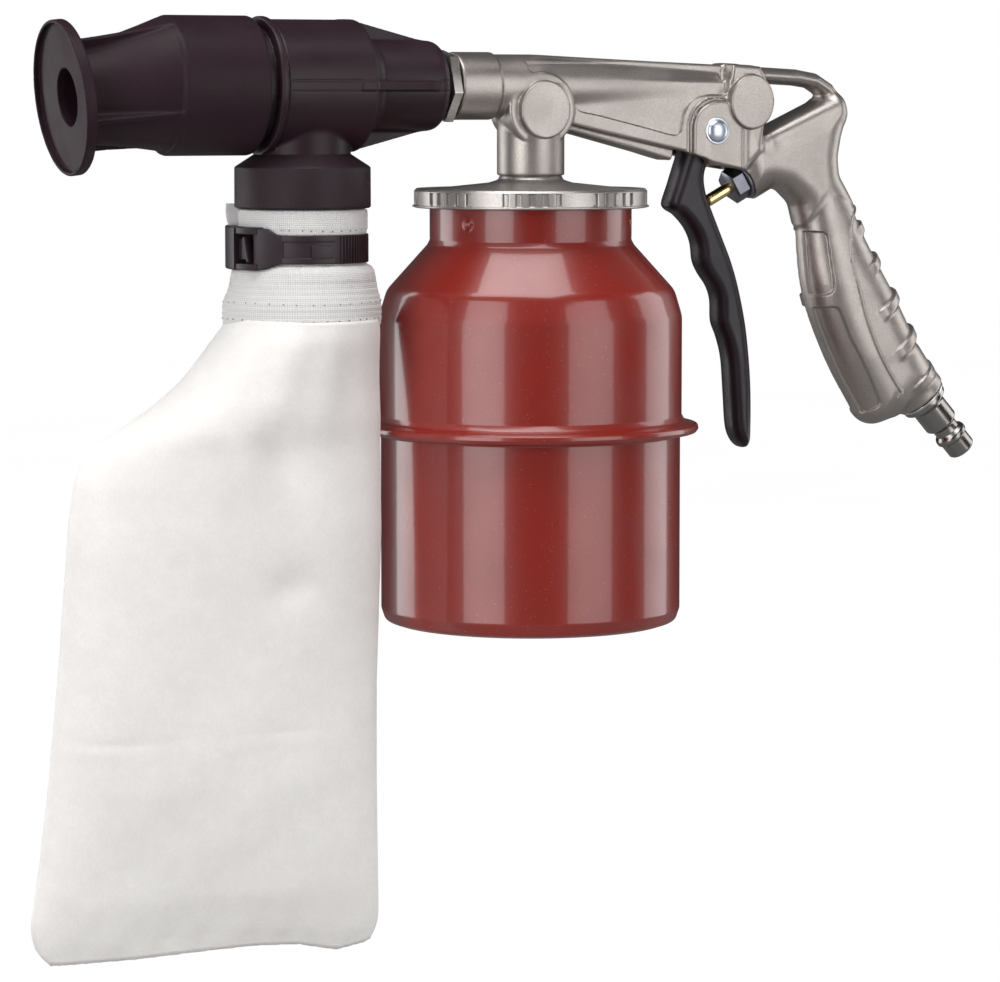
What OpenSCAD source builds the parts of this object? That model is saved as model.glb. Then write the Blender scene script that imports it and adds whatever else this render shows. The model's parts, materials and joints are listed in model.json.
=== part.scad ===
// Suction-feed spot blasting gun: die-cast pistol gun, grit cup, recovery head, rubber spot
// nozzle and dust bag. Millimetres, +Z up, the barrel runs along X and blasts towards -X.
// Shapes are drawn about the crossing of the barrel axis and the cup axis. from_grip() then
// moves them so that the row's origin is the middle of the grip.

/* [Barrel and adaptor] */
// Diameter of the barrel tube
barrel_d = 20.4; // [19:0.1:22]
// Diameter of the round boss at the barrel's front end
boss_d = 23.2; // [22:0.1:25]
// Diameter of the suction tube cast under the barrel
down_tube_d = 23.2; // [21:0.1:25]
// Across flats of the hexagon between the gun and the recovery head
hex_af = 22.4; // [20:0.1:23]
// Bore of the mixing chamber
chamber_d = 10; // [9:0.1:11]

/* [Recovery head] */
// Outer diameter of the head's main cylinder
head_d = 44; // [42:0.1:45]
// Outer diameter of the head's rear cylinder
head_rear_d = 30.4; // [28:0.1:32]
// Diameter of the branch that leads down to the bag
branch_d = 30; // [29:0.1:31]
// Outer diameter of the collar that the bag hangs below
collar_d = 45.6; // [44:0.1:46]
// Diameter of the spigot inside the bag's cuff
spigot_d = 39; // [38:0.1:39.4]

/* [Spot nozzle] */
// Outer diameter of the rubber nozzle's sleeve
sleeve_d = 46.2; // [46:0.1:48]
// Diameter of the flange that is pressed on the work
flange_d = 51; // [49:0.1:54]
// Diameter of the hole that the grit leaves by
mouth_d = 18.8; // [17:0.1:20]
// Thickness of the flange
flange_t = 3.6; // [3:0.1:4.5]
// Angle that the nozzle's front hangs below the barrel axis, in degrees
nozzle_droop = 6.5; // [0:0.5:7]

/* [Cup] */
// Outer diameter of the cup
cup_d = 104.4; // [100:0.1:105]
// Outer diameter of the cup's neck
neck_d = 69.4; // [68:0.1:70]
// Outer diameter of the folded seam round the cup
seam_d = 116.2; // [112:0.1:116.4]
// Outer diameter of the knurled lid
lid_d = 80.2; // [79:0.1:82]
// Sheet thickness of the cup
cup_wall = 0.9; // [0.7:0.1:1.2]
// Depth of the cup's bottom below the barrel axis
cup_bottom = 184.7; // [180:0.1:186]

/* [Trigger and valve] */
// Distance of the trigger pin behind the cup axis
pin_x = 66.8; // [66:0.1:67.5]
// Distance of the trigger pin below the barrel axis
pin_drop = 15.5; // [15:0.1:16]
// Width of the trigger
trigger_w = 12.6; // [11:0.1:13.4]
// Slope of the valve axis below the horizontal, in degrees
valve_slope = 28; // [27:0.5:29]
// Diameter of the valve stem
stem_d = 4.2; // [4:0.1:4.4]

/* [Body and grip] */
// Width of the body casting
body_w = 22; // [21:0.1:24]
// Width of the hang loop
loop_w = 12; // [11:0.1:13]
// Width of the grip
grip_w = 27; // [25:0.1:29]
// Slope of the hose plug below the horizontal, in degrees
plug_slope = 47.8; // [46:0.5:50]

/* [Dust bag] */
// Thickness of the bag's felt
felt = 1.5; // [1:0.1:2]
// Thickness of the filled bag at its middle
bag_full = 27; // [22:1:30]

/* [Hidden] */
$fn = 96;

// Middle of the grip, seen from the crossing of the barrel and cup axes
grip_at = [127, 0, -75];
// The hexagon's turn about the barrel axis
hex_turn = -19;
// Stations along the barrel axis
boss_front = -30.3;
boss_back = -15.5;
hex_front = -35.2;
head_back = -35.8;
head_step = -68;
head_front = -101;
sleeve_back = -104.3;
sleeve_front = -133;
flange_at = -170;
head_sleeve_end = -122;
// Radii and depths of the bag's fittings
branch_x = -84.7;
collar_top = -23.5;
collar_bottom = -40.6;
spigot_bottom = -64;
spigot_bore_r = 17;
branch_bore_r = 11.5;
branch_tail_r = 13;
branch_tail_end = -34;
lip_r = 23;
head_sleeve_r = 19.3;
head_bore_r = 17;
shank_r = 9;
// Running gap between pieces that slide or turn on each other
gap = 0.3;
// Cup stations, all below the barrel axis
lid_top = -30.5;
lid_bottom = -41.4;
mouth_z = -38.8;
gasket_top = -37.5;
neck_z = -53.2;
shoulder_z = -73;
seam_z = -116.4;
dent_angles = [206.6, 326.6, 86.6];
// Valve: distances are measured along its axis from the gland nut's middle, inwards
valve_at = [79.9, 0, -34.3];
valve_bore_r = 5;
face_at = 3.5;
seat_at = 16;
disc_at = 18.5;
disc_t = 2;
head_t = 2;
spring_at = 27.2;
valve_end = 36;
stem_tip = -13.3;
// Hose plug
plug_at = [156.8, 0, -111.6];
plug_bore_r = 3.5;
// Strap
strap_top = -50;
strap_bottom = -59.4;
strap_in_r = 20.8;
strap_out_r = 22;
buckle_out_r = 26;

module from_grip() {
    translate(-grip_at) children();
}

// A solid of revolution about the barrel axis; x runs along the axis and y is the radius
module along_barrel() {
    rotate([0, 90, 0]) rotate([0, 0, 90]) children();
}

// A rod on the barrel axis from x0 to x1
module rod_x(r, x0, x1, r1 = undef) {
    translate([x0, 0, 0]) rotate([0, 90, 0])
        cylinder(r1 = r, r2 = is_undef(r1) ? r : r1, h = x1 - x0);
}

// A tube on the cup axis
module tube_z(r_out, r_in, z0, z1) {
    rotate_extrude() translate([r_in, z0]) square([r_out - r_in, z1 - z0]);
}

// A plate in the XZ plane, w wide across Y
module plate(w) {
    rotate([90, 0, 0]) linear_extrude(w, center = true) children();
}

// Places a piece on the valve axis: its +Z runs along the valve, into the gun
module on_valve() {
    translate(valve_at) rotate([0, 90 - valve_slope, 0]) children();
}

module valve_rod(r, s0, s1) {
    on_valve() translate([0, 0, s0]) cylinder(r = r, h = s1 - s0);
}

module valve_ring(r_out, r_in, s0, s1) {
    on_valve() tube_z(r_out, r_in, s0, s1);
}

// Places a piece on the hose plug's axis: its +Z runs out of the grip
module on_plug() {
    translate(plug_at) rotate([0, 90 + plug_slope, 0]) children();
}

// ---- Gun casting ----

// Side outline of the web, the trigger housing, the hang loop and the top of the grip
module body_outline() {
    offset(r = 2) offset(delta = -2) polygon([
        [-4, 8], [76, 6.6], [106, 5.4], [113, 4.2], [118, 1.4], [121.6, -4], [122.6, -10],
        [120.8, -17], [119.2, -24], [119.6, -31], [123.6, -41], [130, -52],
        [108, -58], [104.5, -47], [101.5, -40.5], [97.5, -37], [92.4, -36.6], [87.4, -39],
        [84, -41], [80, -33], [73.9, -27.6], [57.6, -23.6], [28.8, -16.4], [9.6, -11.9], [-4, -9],
    ]);
}

module loop_outline() {
    offset(r = 1.6) offset(delta = -1.6)
        polygon([[90, 0.6], [111, -0.4], [116.6, -2.8], [117.2, -5.2], [91.4, -15.6]]);
}

// The hang loop is narrower than the body: this outline is pared off both of its sides
module loop_side() {
    polygon([[89, 9], [126, 9], [126, -13], [117, -9], [92, -19], [88, -15]]);
}

// Stations of the grip: centre x, centre z, half depth, half width
grip_line = [
    [117, -43, 15.5, 9.5], [121.6, -60, 16.8, 12.5], [129.6, -82, 16.6, grip_w / 2],
    [139, -102, 16.4, 13], [145.2, -114, 14.4, 12],
];

module grip_slice(s) {
    translate([s[0], 0, s[1]]) rotate([0, -25, 0]) linear_extrude(1, center = true)
        scale([s[2], s[3]]) circle(r = 1, $fn = 32);
}

module grip_shape() {
    for (i = [0:len(grip_line) - 2])
        hull() {
            grip_slice(grip_line[i]);
            grip_slice(grip_line[i + 1]);
        }
}

module round_pad(x, z, r, w) {
    translate([x, 0, z]) rotate([90, 0, 0]) cylinder(r = r, h = w, center = true);
}

// The round pad over the suction tube stands out on one side only
module front_pad() {
    translate([-0.6, 9, -8.2]) rotate([90, 0, 0]) cylinder(r = 9.4, h = 22);
}

module trigger_slot() {
    plate(trigger_w + 1.4) polygon([[58, -6], [73, -6], [78, -11], [78, -45], [50, -45], [54, -14]]);
}

module air_ways() {
    rod_x(7, boss_front - 1, boss_back);
    rod_x(chamber_d / 2, boss_back - 1, 26);
    rod_x(3, 25, 86);
    translate([0, 0, -14]) cylinder(d = chamber_d, h = 14);
    translate([0, 0, lid_top - 1]) cylinder(r = 7, h = 17.5);
    valve_rod(valve_bore_r, face_at - 12, valve_end);
    translate([91.8, 0, -28]) rotate([0, -14.6, 0]) cylinder(r = 2.5, h = 28.5);
    translate([148.8, 0, -107]) rotate([0, -25.5, 0]) cylinder(r = 4, h = 94);
    on_plug() translate([0, 0, -15]) cylinder(r = 6, h = 17);
}

module gun_body() from_grip() color("#b3aaa3") {
    difference() {
        union() {
            rod_x(boss_d / 2, boss_front, boss_back);
            rod_x(barrel_d / 2, boss_back - 1, 8);
            rod_x(barrel_d / 2, 8, 74, 7.4);
            translate([0, 0, lid_top]) cylinder(d = down_tube_d, h = -lid_top);
            difference() {
                plate(body_w - 4) body_outline();
                plate(body_w + 2) loop_outline();
                for (side = [-1, 1])
                    translate([0, side * (loop_w + body_w) / 2, 0]) plate(body_w) loop_side();
            }
            front_pad();
            round_pad(79.6, -5.4, 9, body_w + 4);
            round_pad(pin_x, -pin_drop, 11, body_w);
            valve_rod(8, face_at, valve_end - 4);
            grip_shape();
            on_plug() translate([0, 0, -6]) cylinder(r = 10.5, h = 6);
        }
        air_ways();
        trigger_slot();
        round_pad(pin_x, -pin_drop, 2.5, body_w + 2);
        valve_rod(14, face_at - 12, face_at);
    }
}

// ---- Barrel parts ----

module hex_adaptor() from_grip() color("#8d8a86") {
    difference() {
        union() {
            translate([hex_front, 0, 0]) rotate([hex_turn, 0, 0]) rotate([0, 90, 0])
                cylinder(d = hex_af / cos(30), h = boss_front - hex_front, $fn = 6);
            rod_x(shank_r, -48, hex_front + 1);
            rod_x(7, boss_front - 1, boss_back - 1.5);
        }
        rod_x(6, -49, boss_back - 0.5);
    }
}

module head_washer() from_grip() color("#7a3b2a") {
    difference() {
        rod_x(10.4, head_back, hex_front);
        rod_x(shank_r, head_back - 1, hex_front + 1);
    }
}

module blast_nozzle() from_grip() color("#6f7072") {
    difference() {
        rod_x(6, -118, boss_back);
        rod_x(3.4, -119, boss_back + 1);
    }
}

module air_jet() from_grip() color("#c2a25a") {
    difference() {
        union() {
            rod_x(chamber_d / 2, 12, 26);
            rod_x(2.4, 3, 12.01, 4);
        }
        rod_x(1.5, 2, 16);
        rod_x(3, 15, 27);
    }
}

// ---- Recovery head ----

// One of the four fins that stiffen the rear cylinder
module head_fin() {
    plate(3.4) polygon([
        [head_step - 4, 10], [head_step - 4, head_d / 2 - 0.2], [head_step, head_d / 2 - 0.2],
        [-41, head_rear_d / 2 - 0.3], [-41, 10],
    ]);
}

module recovery_head() from_grip() color("#2b2528") {
    difference() {
        union() {
            along_barrel() rotate_extrude() polygon([
                [0, head_front], [lip_r, head_front], [lip_r, -98.6], [head_d / 2, -98.2],
                [head_d / 2, head_step], [head_rear_d / 2, head_step + 7],
                [head_rear_d / 2, head_back - 3.2], [head_rear_d / 2 - 0.8, head_back - 1.2],
                [head_rear_d / 2 - 2.5, head_back], [0, head_back],
            ]);
            rod_x(head_sleeve_r, head_sleeve_end, head_front + 1);
            for (a = [0:90:270])
                rotate([a, 0, 0]) head_fin();
            translate([branch_x, 0, collar_top]) cylinder(d = branch_d, h = -collar_top);
            translate([branch_x, 0, branch_tail_end])
                cylinder(r = branch_tail_r, h = -branch_tail_end);
        }
        rod_x(head_bore_r, head_sleeve_end - 1, -66);
        rod_x(12, -67, -47);
        rod_x(shank_r, -48, head_back + 1);
        translate([branch_x, 0, branch_tail_end - 1])
            cylinder(r = branch_bore_r, h = -branch_tail_end);
    }
}

module bag_spigot() from_grip() color("#242124") {
    translate([branch_x, 0, 0]) rotate_extrude() polygon([
        [branch_tail_r, collar_top], [branch_d / 2, collar_top], [collar_d / 2, -27],
        [collar_d / 2, collar_bottom], [spigot_d / 2, collar_bottom],
        [spigot_d / 2, spigot_bottom], [spigot_bore_r, spigot_bottom],
        [spigot_bore_r, branch_tail_end], [branch_tail_r, branch_tail_end],
    ]);
}

// ---- Rubber spot nozzle ----

// Places the drooping front of the nozzle: x is measured from the front of its sleeve
module drooped() {
    translate([sleeve_front, 0, 0]) rotate([0, -nozzle_droop, 0]) children();
}

neck_len = sleeve_front - flange_at;
neck_front_r = 15.2;
// How far the neck's cone runs into the sleeve
sleeve_bite = 6;

module nozzle_rib() {
    plate(2.2) polygon([
        [-neck_len + 2, 8], [-neck_len + 2, 20.6], [-4, 20.6], [0, sleeve_d / 2 - 1], [0, 8],
    ]);
}

module spot_nozzle() from_grip() color("#2d282b") {
    difference() {
        union() {
            rod_x(sleeve_d / 2, sleeve_front, sleeve_back);
            drooped() {
                rod_x(neck_front_r, -neck_len + 1, sleeve_bite, sleeve_d / 2 - gap);
                rod_x(flange_d / 2, -neck_len, -neck_len + flange_t);
                for (a = [0:90:270])
                    rotate([a + 25, 0, 0]) nozzle_rib();
            }
        }
        rod_x(head_sleeve_r + gap, -126, sleeve_back + 1);
        drooped() {
            rod_x(mouth_d / 2, -neck_len - 1, -neck_len + 8);
            rod_x(mouth_d / 2 - 0.6, -neck_len + 5, 10, 18.2);
        }
    }
}

// ---- Lid and suction line ----

module lid_stud() from_grip() color("#9a9893") {
    tube_z(7, 4.1, -44, -15);
}

module lid_nut() from_grip() color("#9a9893") {
    difference() {
        translate([0, 0, -42.5]) cylinder(d = 24, h = 5.3, $fn = 6);
        translate([0, 0, -44]) cylinder(r = 7, h = 8);
    }
}

module suction_tube() from_grip() color("#a9a9a6") {
    tube_z(4.1, 3.2, -172, -16);
}

module suction_foot() from_grip() color("#c2a25a") {
    difference() {
        tube_z(5.6, 4.1, -178, -164);
        for (a = [0, 90])
            translate([0, 0, -178]) rotate([0, 0, a]) cube([14, 3, 6], center = true);
    }
}

// Grip teeth: eight groups of five grooves round the lid's rim
groove_groups = 8;
grooves = 5;
groove_step = 6.4;

module cup_lid() from_grip() color("#a39d97") {
    difference() {
        rotate_extrude() polygon([
            [7, lid_top], [11, lid_top], [11.3, -32], [14, -32.8], [26, -34.1], [37.6, -35.5],
            [38.2, -35.1], [lid_d / 2 - 0.6, -35.1], [lid_d / 2, -35.7], [lid_d / 2, -40.4],
            [lid_d / 2 + 0.5, -40.6], [lid_d / 2 + 0.5, lid_bottom], [35.8, lid_bottom],
            [35.8, -37.2], [7, -37.2],
        ]);
        for (g = [0:groove_groups - 1], i = [0:grooves - 1])
            rotate([0, 0, g * 360 / groove_groups + (i - 2) * groove_step + 20])
                translate([lid_d / 2, 0, -38.1]) cube([2, 2, 4.2], center = true);
    }
}

// ---- Cup ----

module cup_gasket() from_grip() color("#3a3733") {
    tube_z(35.4, 30, mouth_z + gap, gasket_top);
}

module cup_shell() from_grip() color("#8e2a22") {
    w = cup_wall;
    r = cup_d / 2;
    n = neck_d / 2;
    rotate_extrude() polygon([
        [n, mouth_z], [n, neck_z], [49, shoulder_z + 3.5], [51.4, shoulder_z - 1], [r, shoulder_z - 6],
        [r, seam_z + 3], [seam_d / 2 - 1.2, seam_z + 0.6], [seam_d / 2 - 1.2, seam_z],
        [r - w, seam_z], [r - w, shoulder_z - 6], [51.4 - w, shoulder_z - 1.4],
        [49 - w, shoulder_z + 3], [n - w, neck_z - 0.4], [n - w, mouth_z],
    ]);
    for (a = dent_angles)
        rotate([0, 0, a]) translate([n - 0.4, 0, -47]) rotate([0, 90, 0]) cylinder(d = 4, h = 0.9);
}

module cup_base() from_grip() color("#8e2a22") {
    w = cup_wall;
    r = cup_d / 2 - 0.5;
    b = -cup_bottom;
    rotate_extrude() polygon([
        [0, b + 1.5], [r - 9, b + 1.5], [r - 7.5, b], [r - 4.6, b], [r - 1.4, b + 1.4], [r, b + 4.6],
        [r, seam_z - 2.4], [seam_d / 2 - 1, seam_z - 2.2], [seam_d / 2, seam_z - 1.2],
        [seam_d / 2, seam_z + 0.8], [seam_d / 2 - 1.2, seam_z + 0.8], [seam_d / 2 - 1.2, seam_z],
        [r - w, seam_z], [r - w, b + 4.9], [r - 1.4 - w, b + 2.6], [r - 5, b + w + 1.5], [0, b + w + 1.5],
    ]);
}

// ---- Trigger and its pin ----

module trigger() from_grip() color("#2a2428") {
    difference() {
        union() {
            round_pad(pin_x, -pin_drop, 8.4, trigger_w);
            plate(trigger_w) offset(r = 1) offset(delta = -1) polygon([
                [59.6, -18], [57.2, -24.6], [51.9, -40.6], [52.9, -43.2], [56.4, -44.8], [61.2, -49.8],
                [63.3, -55], [64.1, -61.7], [66.1, -65.4], [69.8, -70], [71.4, -75], [71.6, -83],
                [74.2, -88.4], [76.1, -95.7], [77.1, -111], [78, -120.4], [80, -125],
                [82.6, -127.6], [84.2, -126.6], [85.2, -122.2], [84.8, -103.7], [83, -85.5],
                [78, -63.9], [73, -51.8], [68, -41], [66, -36.6], [66, -29.6], [71, -20],
            ]);
        }
        round_pad(pin_x, -pin_drop, 2.55, trigger_w + 2);
    }
}

module trigger_pin() from_grip() color("#b9c2cc") {
    translate([pin_x, 0, -pin_drop]) rotate([90, 0, 0]) {
        cylinder(r = 2.5, h = body_w + 3, center = true);
        translate([0, 0, body_w / 2]) cylinder(r1 = 4.4, r2 = 3, h = 1.7);
    }
}

module pin_clip() from_grip() color("#5c6066") {
    translate([pin_x, body_w / 2 + 0.9, -pin_drop]) rotate([90, 0, 0])
        tube_z(4.4, 2.5, 0, 0.9);
}

// ---- Air valve ----

module gland_nut() from_grip() color("#6f727a") {
    difference() {
        on_valve() {
            translate([0, 0, -2.5]) rotate([0, 0, 20]) cylinder(d = 11 / cos(30), h = 5, $fn = 6);
            cylinder(r = valve_bore_r, h = 11);
        }
        valve_rod(stem_d / 2 + 0.05, -3, 12);
    }
}

module gland_washer() from_grip() color("#6f727a") {
    valve_ring(7, valve_bore_r, 2.5, face_at);
}

module stem_ring() from_grip() color("#222222") {
    valve_ring(valve_bore_r, stem_d / 2 + 0.05, 11, 13);
}

module valve_seat() from_grip() color("#c2a25a") {
    valve_ring(valve_bore_r, 3, seat_at, disc_at);
}

module valve_stem() from_grip() color("#c2a25a") {
    on_valve() rotate_extrude() polygon([
        [0, stem_tip], [1.2, stem_tip], [stem_d / 2, stem_tip + 0.9], [stem_d / 2, disc_at],
        [1.4, disc_at], [1.4, disc_at + disc_t], [4.2, disc_at + disc_t],
        [4.2, disc_at + disc_t + head_t], [2, disc_at + disc_t + head_t],
        [2, 27], [0, 27],
    ]);
}

module valve_disc() from_grip() color("#222222") {
    valve_ring(4.2, 1.4, disc_at + 0.02, disc_at + disc_t);
}

// The valve's return spring, drawn at its pressed length
module valve_spring() from_grip() color("#9aa0a6") {
    turns = 5;
    pitch = (valve_end - spring_at - 1) / (turns - 1);
    on_valve() for (i = [0:turns - 1])
        translate([0, 0, spring_at + 0.5 + i * pitch])
            rotate_extrude() translate([3.6, 0]) circle(r = 0.5, $fn = 16);
}

// ---- Hose plug ----

module plug_washer() from_grip() color("#8e8e8c") {
    on_plug() tube_z(8.6, 6, 0, 1);
}

module air_plug() from_grip() color("#4c4a4b") {
    on_plug() rotate_extrude() polygon([
        [plug_bore_r, -14], [6, -14], [6, 1], [8, 1], [8, 3.4], [6.3, 4.2], [6.3, 13.2], [5.6, 14],
        [4.6, 14.2], [4.6, 17.6], [5.4, 18.4], [6, 18.8], [6, 20.4], [5.2, 20.8], [5.2, 26.4],
        [4.6, 27], [plug_bore_r, 27],
    ]);
}

// ---- Bag and strap ----

// Outline of the hanging bag at depth z: left edge, right edge, middle across Y, full thickness
bag_left = [
    [-290, -180], [-286, -183], [-278, -184.5], [-230, -178], [-190, -173.8], [-145, -170],
    [-130, -167.6], [-122, -164], [-117, -158.5], [-108, -142], [-98, -128], [-90, -121.4],
    [-80, -113],
];
bag_right = [
    [-290, -66], [-286, -63], [-234, -64], [-200, -64], [-147, -62.2], [-99, -61.8],
    [-88, -60.5], [-80, -59],
];
bag_thick = [
    [-290, 3], [-286, 7], [-270, 14], [-230, 22], [-170, bag_full], [-120, bag_full + 3],
    [-98, 40], [-80, 52],
];
bag_mid = [[-290, -9], [-150, -9], [-110, -7], [-80, -2]];
bag_rings = 26;
bag_sides = 32;
bag_top = -80;
bag_floor = -290;

function half(z, w) = max(1, (lookup(z, bag_right) - lookup(z, bag_left)) / 2 - w);
function half_thick(z, w) = max(0.5, lookup(z, bag_thick) / 2 - w);
function bag_centre(z) = (lookup(z, bag_right) + lookup(z, bag_left)) / 2;
function bag_point(z, a, w) = [
    bag_centre(z) + half(z, w) * sign(cos(a)) * pow(abs(cos(a)), 0.9),
    lookup(z, bag_mid) + half_thick(z, w) * sign(sin(a)) * pow(abs(sin(a)), 0.9), z,
];
function bag_skin(w, floor) = [
    for (i = [0:bag_rings], k = [0:bag_sides - 1])
        bag_point(bag_top + (floor - bag_top) * i / bag_rings, k * 360 / bag_sides, w)
];
function ring_point(base, i, k) = base + i * bag_sides + k % bag_sides;

module dust_bag() from_grip() color("#e9e6e1") {
    inner = (bag_rings + 1) * bag_sides;
    last = bag_rings * bag_sides;
    polyhedron(
        points = concat(bag_skin(0, bag_floor), bag_skin(felt, bag_floor + 6)),
        faces = concat(
            [for (i = [0:bag_rings - 1], k = [0:bag_sides - 1]) [
                ring_point(0, i, k), ring_point(0, i, k + 1),
                ring_point(0, i + 1, k + 1), ring_point(0, i + 1, k),
            ]],
            [for (i = [0:bag_rings - 1], k = [0:bag_sides - 1]) [
                ring_point(inner, i + 1, k), ring_point(inner, i + 1, k + 1),
                ring_point(inner, i, k + 1), ring_point(inner, i, k),
            ]],
            [for (k = [0:bag_sides - 1]) [
                ring_point(0, 0, k + 1), ring_point(0, 0, k),
                ring_point(inner, 0, k), ring_point(inner, 0, k + 1),
            ]],
            [[for (k = [0:bag_sides - 1]) last + k]],
            [[for (k = [bag_sides - 1:-1:0]) inner + last + k]]
        )
    );
}

module bag_cuff() from_grip() color("#e6e4e2") {
    translate([branch_x, 0, 0]) rotate_extrude() polygon([
        [spigot_d / 2 + gap, collar_bottom - gap], [21.7, collar_bottom - gap],
        [21.7, strap_top + 0.4], [strap_in_r, strap_top], [strap_in_r, strap_bottom],
        [strap_out_r - 0.4, strap_bottom - 0.2], [strap_out_r - 0.3, strap_bottom - 1.4],
        [strap_out_r + 1, strap_bottom - 2], [24.2, -62.5],
        [25, -68], [26.2, -73], [26.2, -78.4], [25.2, -79.7], [23.4, -79.7], [23.2, -68],
        [spigot_d / 2 + gap, -65],
    ]);
}

// A sector of a ring round the bag's axis, from angle a0 over da degrees
module sector(r_in, r_out, z0, z1, a0, da) {
    translate([branch_x, 0, 0]) rotate([0, 0, a0]) rotate_extrude(angle = da)
        translate([r_in, z0]) square([r_out - r_in, z1 - z0]);
}

// Angles of the buckle, its window and the strap's ratchet teeth
buckle_from = 160;
buckle_sweep = 58;
window_from = 172;
window_sweep = 30;
tooth_first = 282;
teeth = 9;
tooth_step = 3.6;
// The pawl: middle radius, thickness, heights, and the angles it covers
pawl_r = 25.6;
pawl_t = 2.4;
pawl_bottom = -57;
pawl_top = -51;
pawl_from = window_from + 3.5;
pawl_sweep = window_sweep - 6.5;

module strap_band() from_grip() color("#262325") {
    translate([branch_x, 0, 0]) tube_z(strap_out_r, strap_in_r, strap_bottom, strap_top);
    sector(strap_out_r - 0.2, strap_out_r + 1.2, -57, -52.4, 256, 16);
    for (i = [0:teeth - 1])
        sector(strap_out_r - 0.2, strap_out_r + 0.7, -58, -51.4, tooth_first + i * tooth_step, 2);
}

module strap_buckle() from_grip() color("#2b282a") {
    difference() {
        sector(strap_out_r, buckle_out_r, strap_bottom - 1, strap_top + 2.6, buckle_from, buckle_sweep);
        sector(strap_out_r + 0.8, buckle_out_r + 1, -57.4, -50.6, window_from, window_sweep);
    }
    sector(strap_out_r, strap_out_r + 1.5, strap_bottom + 0.6, strap_top - 0.6,
        buckle_from + buckle_sweep, 12);
}

// The pawl swings about its rounded end
module strap_pawl() from_grip() color("#2b282a") {
    sector(pawl_r - pawl_t / 2, pawl_r + pawl_t / 2, pawl_bottom, pawl_top, pawl_from, pawl_sweep);
    translate([branch_x, 0, pawl_bottom]) rotate([0, 0, pawl_from]) translate([pawl_r, 0, 0])
        cylinder(d = pawl_t, h = pawl_top - pawl_bottom);
}

gun_body();
hex_adaptor();
head_washer();
blast_nozzle();
air_jet();
recovery_head();
bag_spigot();
spot_nozzle();
lid_stud();
lid_nut();
suction_tube();
suction_foot();
cup_lid();
cup_gasket();
cup_shell();
cup_base();
trigger();
trigger_pin();
pin_clip();
gland_nut();
gland_washer();
stem_ring();
valve_seat();
valve_stem();
valve_disc();
valve_spring();
plug_washer();
air_plug();
dust_bag();
bag_cuff();
strap_band();
strap_buckle();
strap_pawl();
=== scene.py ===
"""The looks of a suction-feed spot blasting gun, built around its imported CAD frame."""

import json
import math

import bpy
import numpy as np
import openvdb
from mathutils import Matrix, Vector


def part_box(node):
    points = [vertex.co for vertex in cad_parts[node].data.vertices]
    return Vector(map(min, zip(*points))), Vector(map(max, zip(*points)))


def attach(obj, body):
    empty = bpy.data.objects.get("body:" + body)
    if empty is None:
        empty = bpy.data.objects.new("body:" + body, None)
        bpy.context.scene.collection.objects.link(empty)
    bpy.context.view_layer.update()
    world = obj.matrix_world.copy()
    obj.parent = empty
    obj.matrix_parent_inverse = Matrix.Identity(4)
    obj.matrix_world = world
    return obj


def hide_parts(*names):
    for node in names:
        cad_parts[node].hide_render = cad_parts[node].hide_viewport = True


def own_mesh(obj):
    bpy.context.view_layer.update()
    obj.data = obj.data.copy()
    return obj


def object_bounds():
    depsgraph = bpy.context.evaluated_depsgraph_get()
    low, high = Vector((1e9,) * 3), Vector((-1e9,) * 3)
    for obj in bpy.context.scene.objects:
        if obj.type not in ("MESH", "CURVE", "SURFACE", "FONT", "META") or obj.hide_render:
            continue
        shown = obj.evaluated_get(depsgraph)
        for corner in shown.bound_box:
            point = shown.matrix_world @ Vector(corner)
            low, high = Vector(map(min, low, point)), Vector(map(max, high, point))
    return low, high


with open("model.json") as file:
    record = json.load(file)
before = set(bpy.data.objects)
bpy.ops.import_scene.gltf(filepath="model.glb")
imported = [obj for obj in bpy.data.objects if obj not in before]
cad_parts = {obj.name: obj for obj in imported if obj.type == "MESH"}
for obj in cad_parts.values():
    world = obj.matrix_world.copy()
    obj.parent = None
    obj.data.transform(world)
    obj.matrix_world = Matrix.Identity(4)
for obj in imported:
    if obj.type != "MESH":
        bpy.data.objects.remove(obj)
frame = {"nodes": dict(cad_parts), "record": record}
cad_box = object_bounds()


def middle(node):
    lo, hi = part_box(node)
    return (lo + hi) / 2


# Shapes are drawn in millimetres from the crossing of the barrel axis and the cup axis
MM = 0.001
CROSSING = np.array([middle("suction_tube").x, 0.0, middle("air_jet").z])


def placed(points):
    """Points in millimetres from the crossing, moved into the row frame in metres."""
    return np.asarray(points, float) * MM + CROSSING


# ---------------------------------------------------------------- camera

# Angles and lens of the view; the target is the middle of the object's own box
AZIMUTH, ELEVATION = math.radians(-25.3), math.radians(5.7)
DISTANCE = 1.363
TARGET = Vector(placed((-11.64, 0, -139.04)))


def add_camera():
    data = bpy.data.cameras.new("camera")
    data.sensor_width = 36
    data.lens = 142.2
    camera = bpy.data.objects.new("camera", data)
    bpy.context.scene.collection.objects.link(camera)
    away = Vector((
        math.sin(AZIMUTH) * math.cos(ELEVATION),
        -math.cos(AZIMUTH) * math.cos(ELEVATION),
        math.sin(ELEVATION),
    ))
    camera.location = TARGET + DISTANCE * away
    camera.rotation_euler = away.to_track_quat("Z", "Y").to_euler()
    bpy.context.scene.camera = camera


add_camera()

# ---------------------------------------------------------------- meshes


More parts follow.
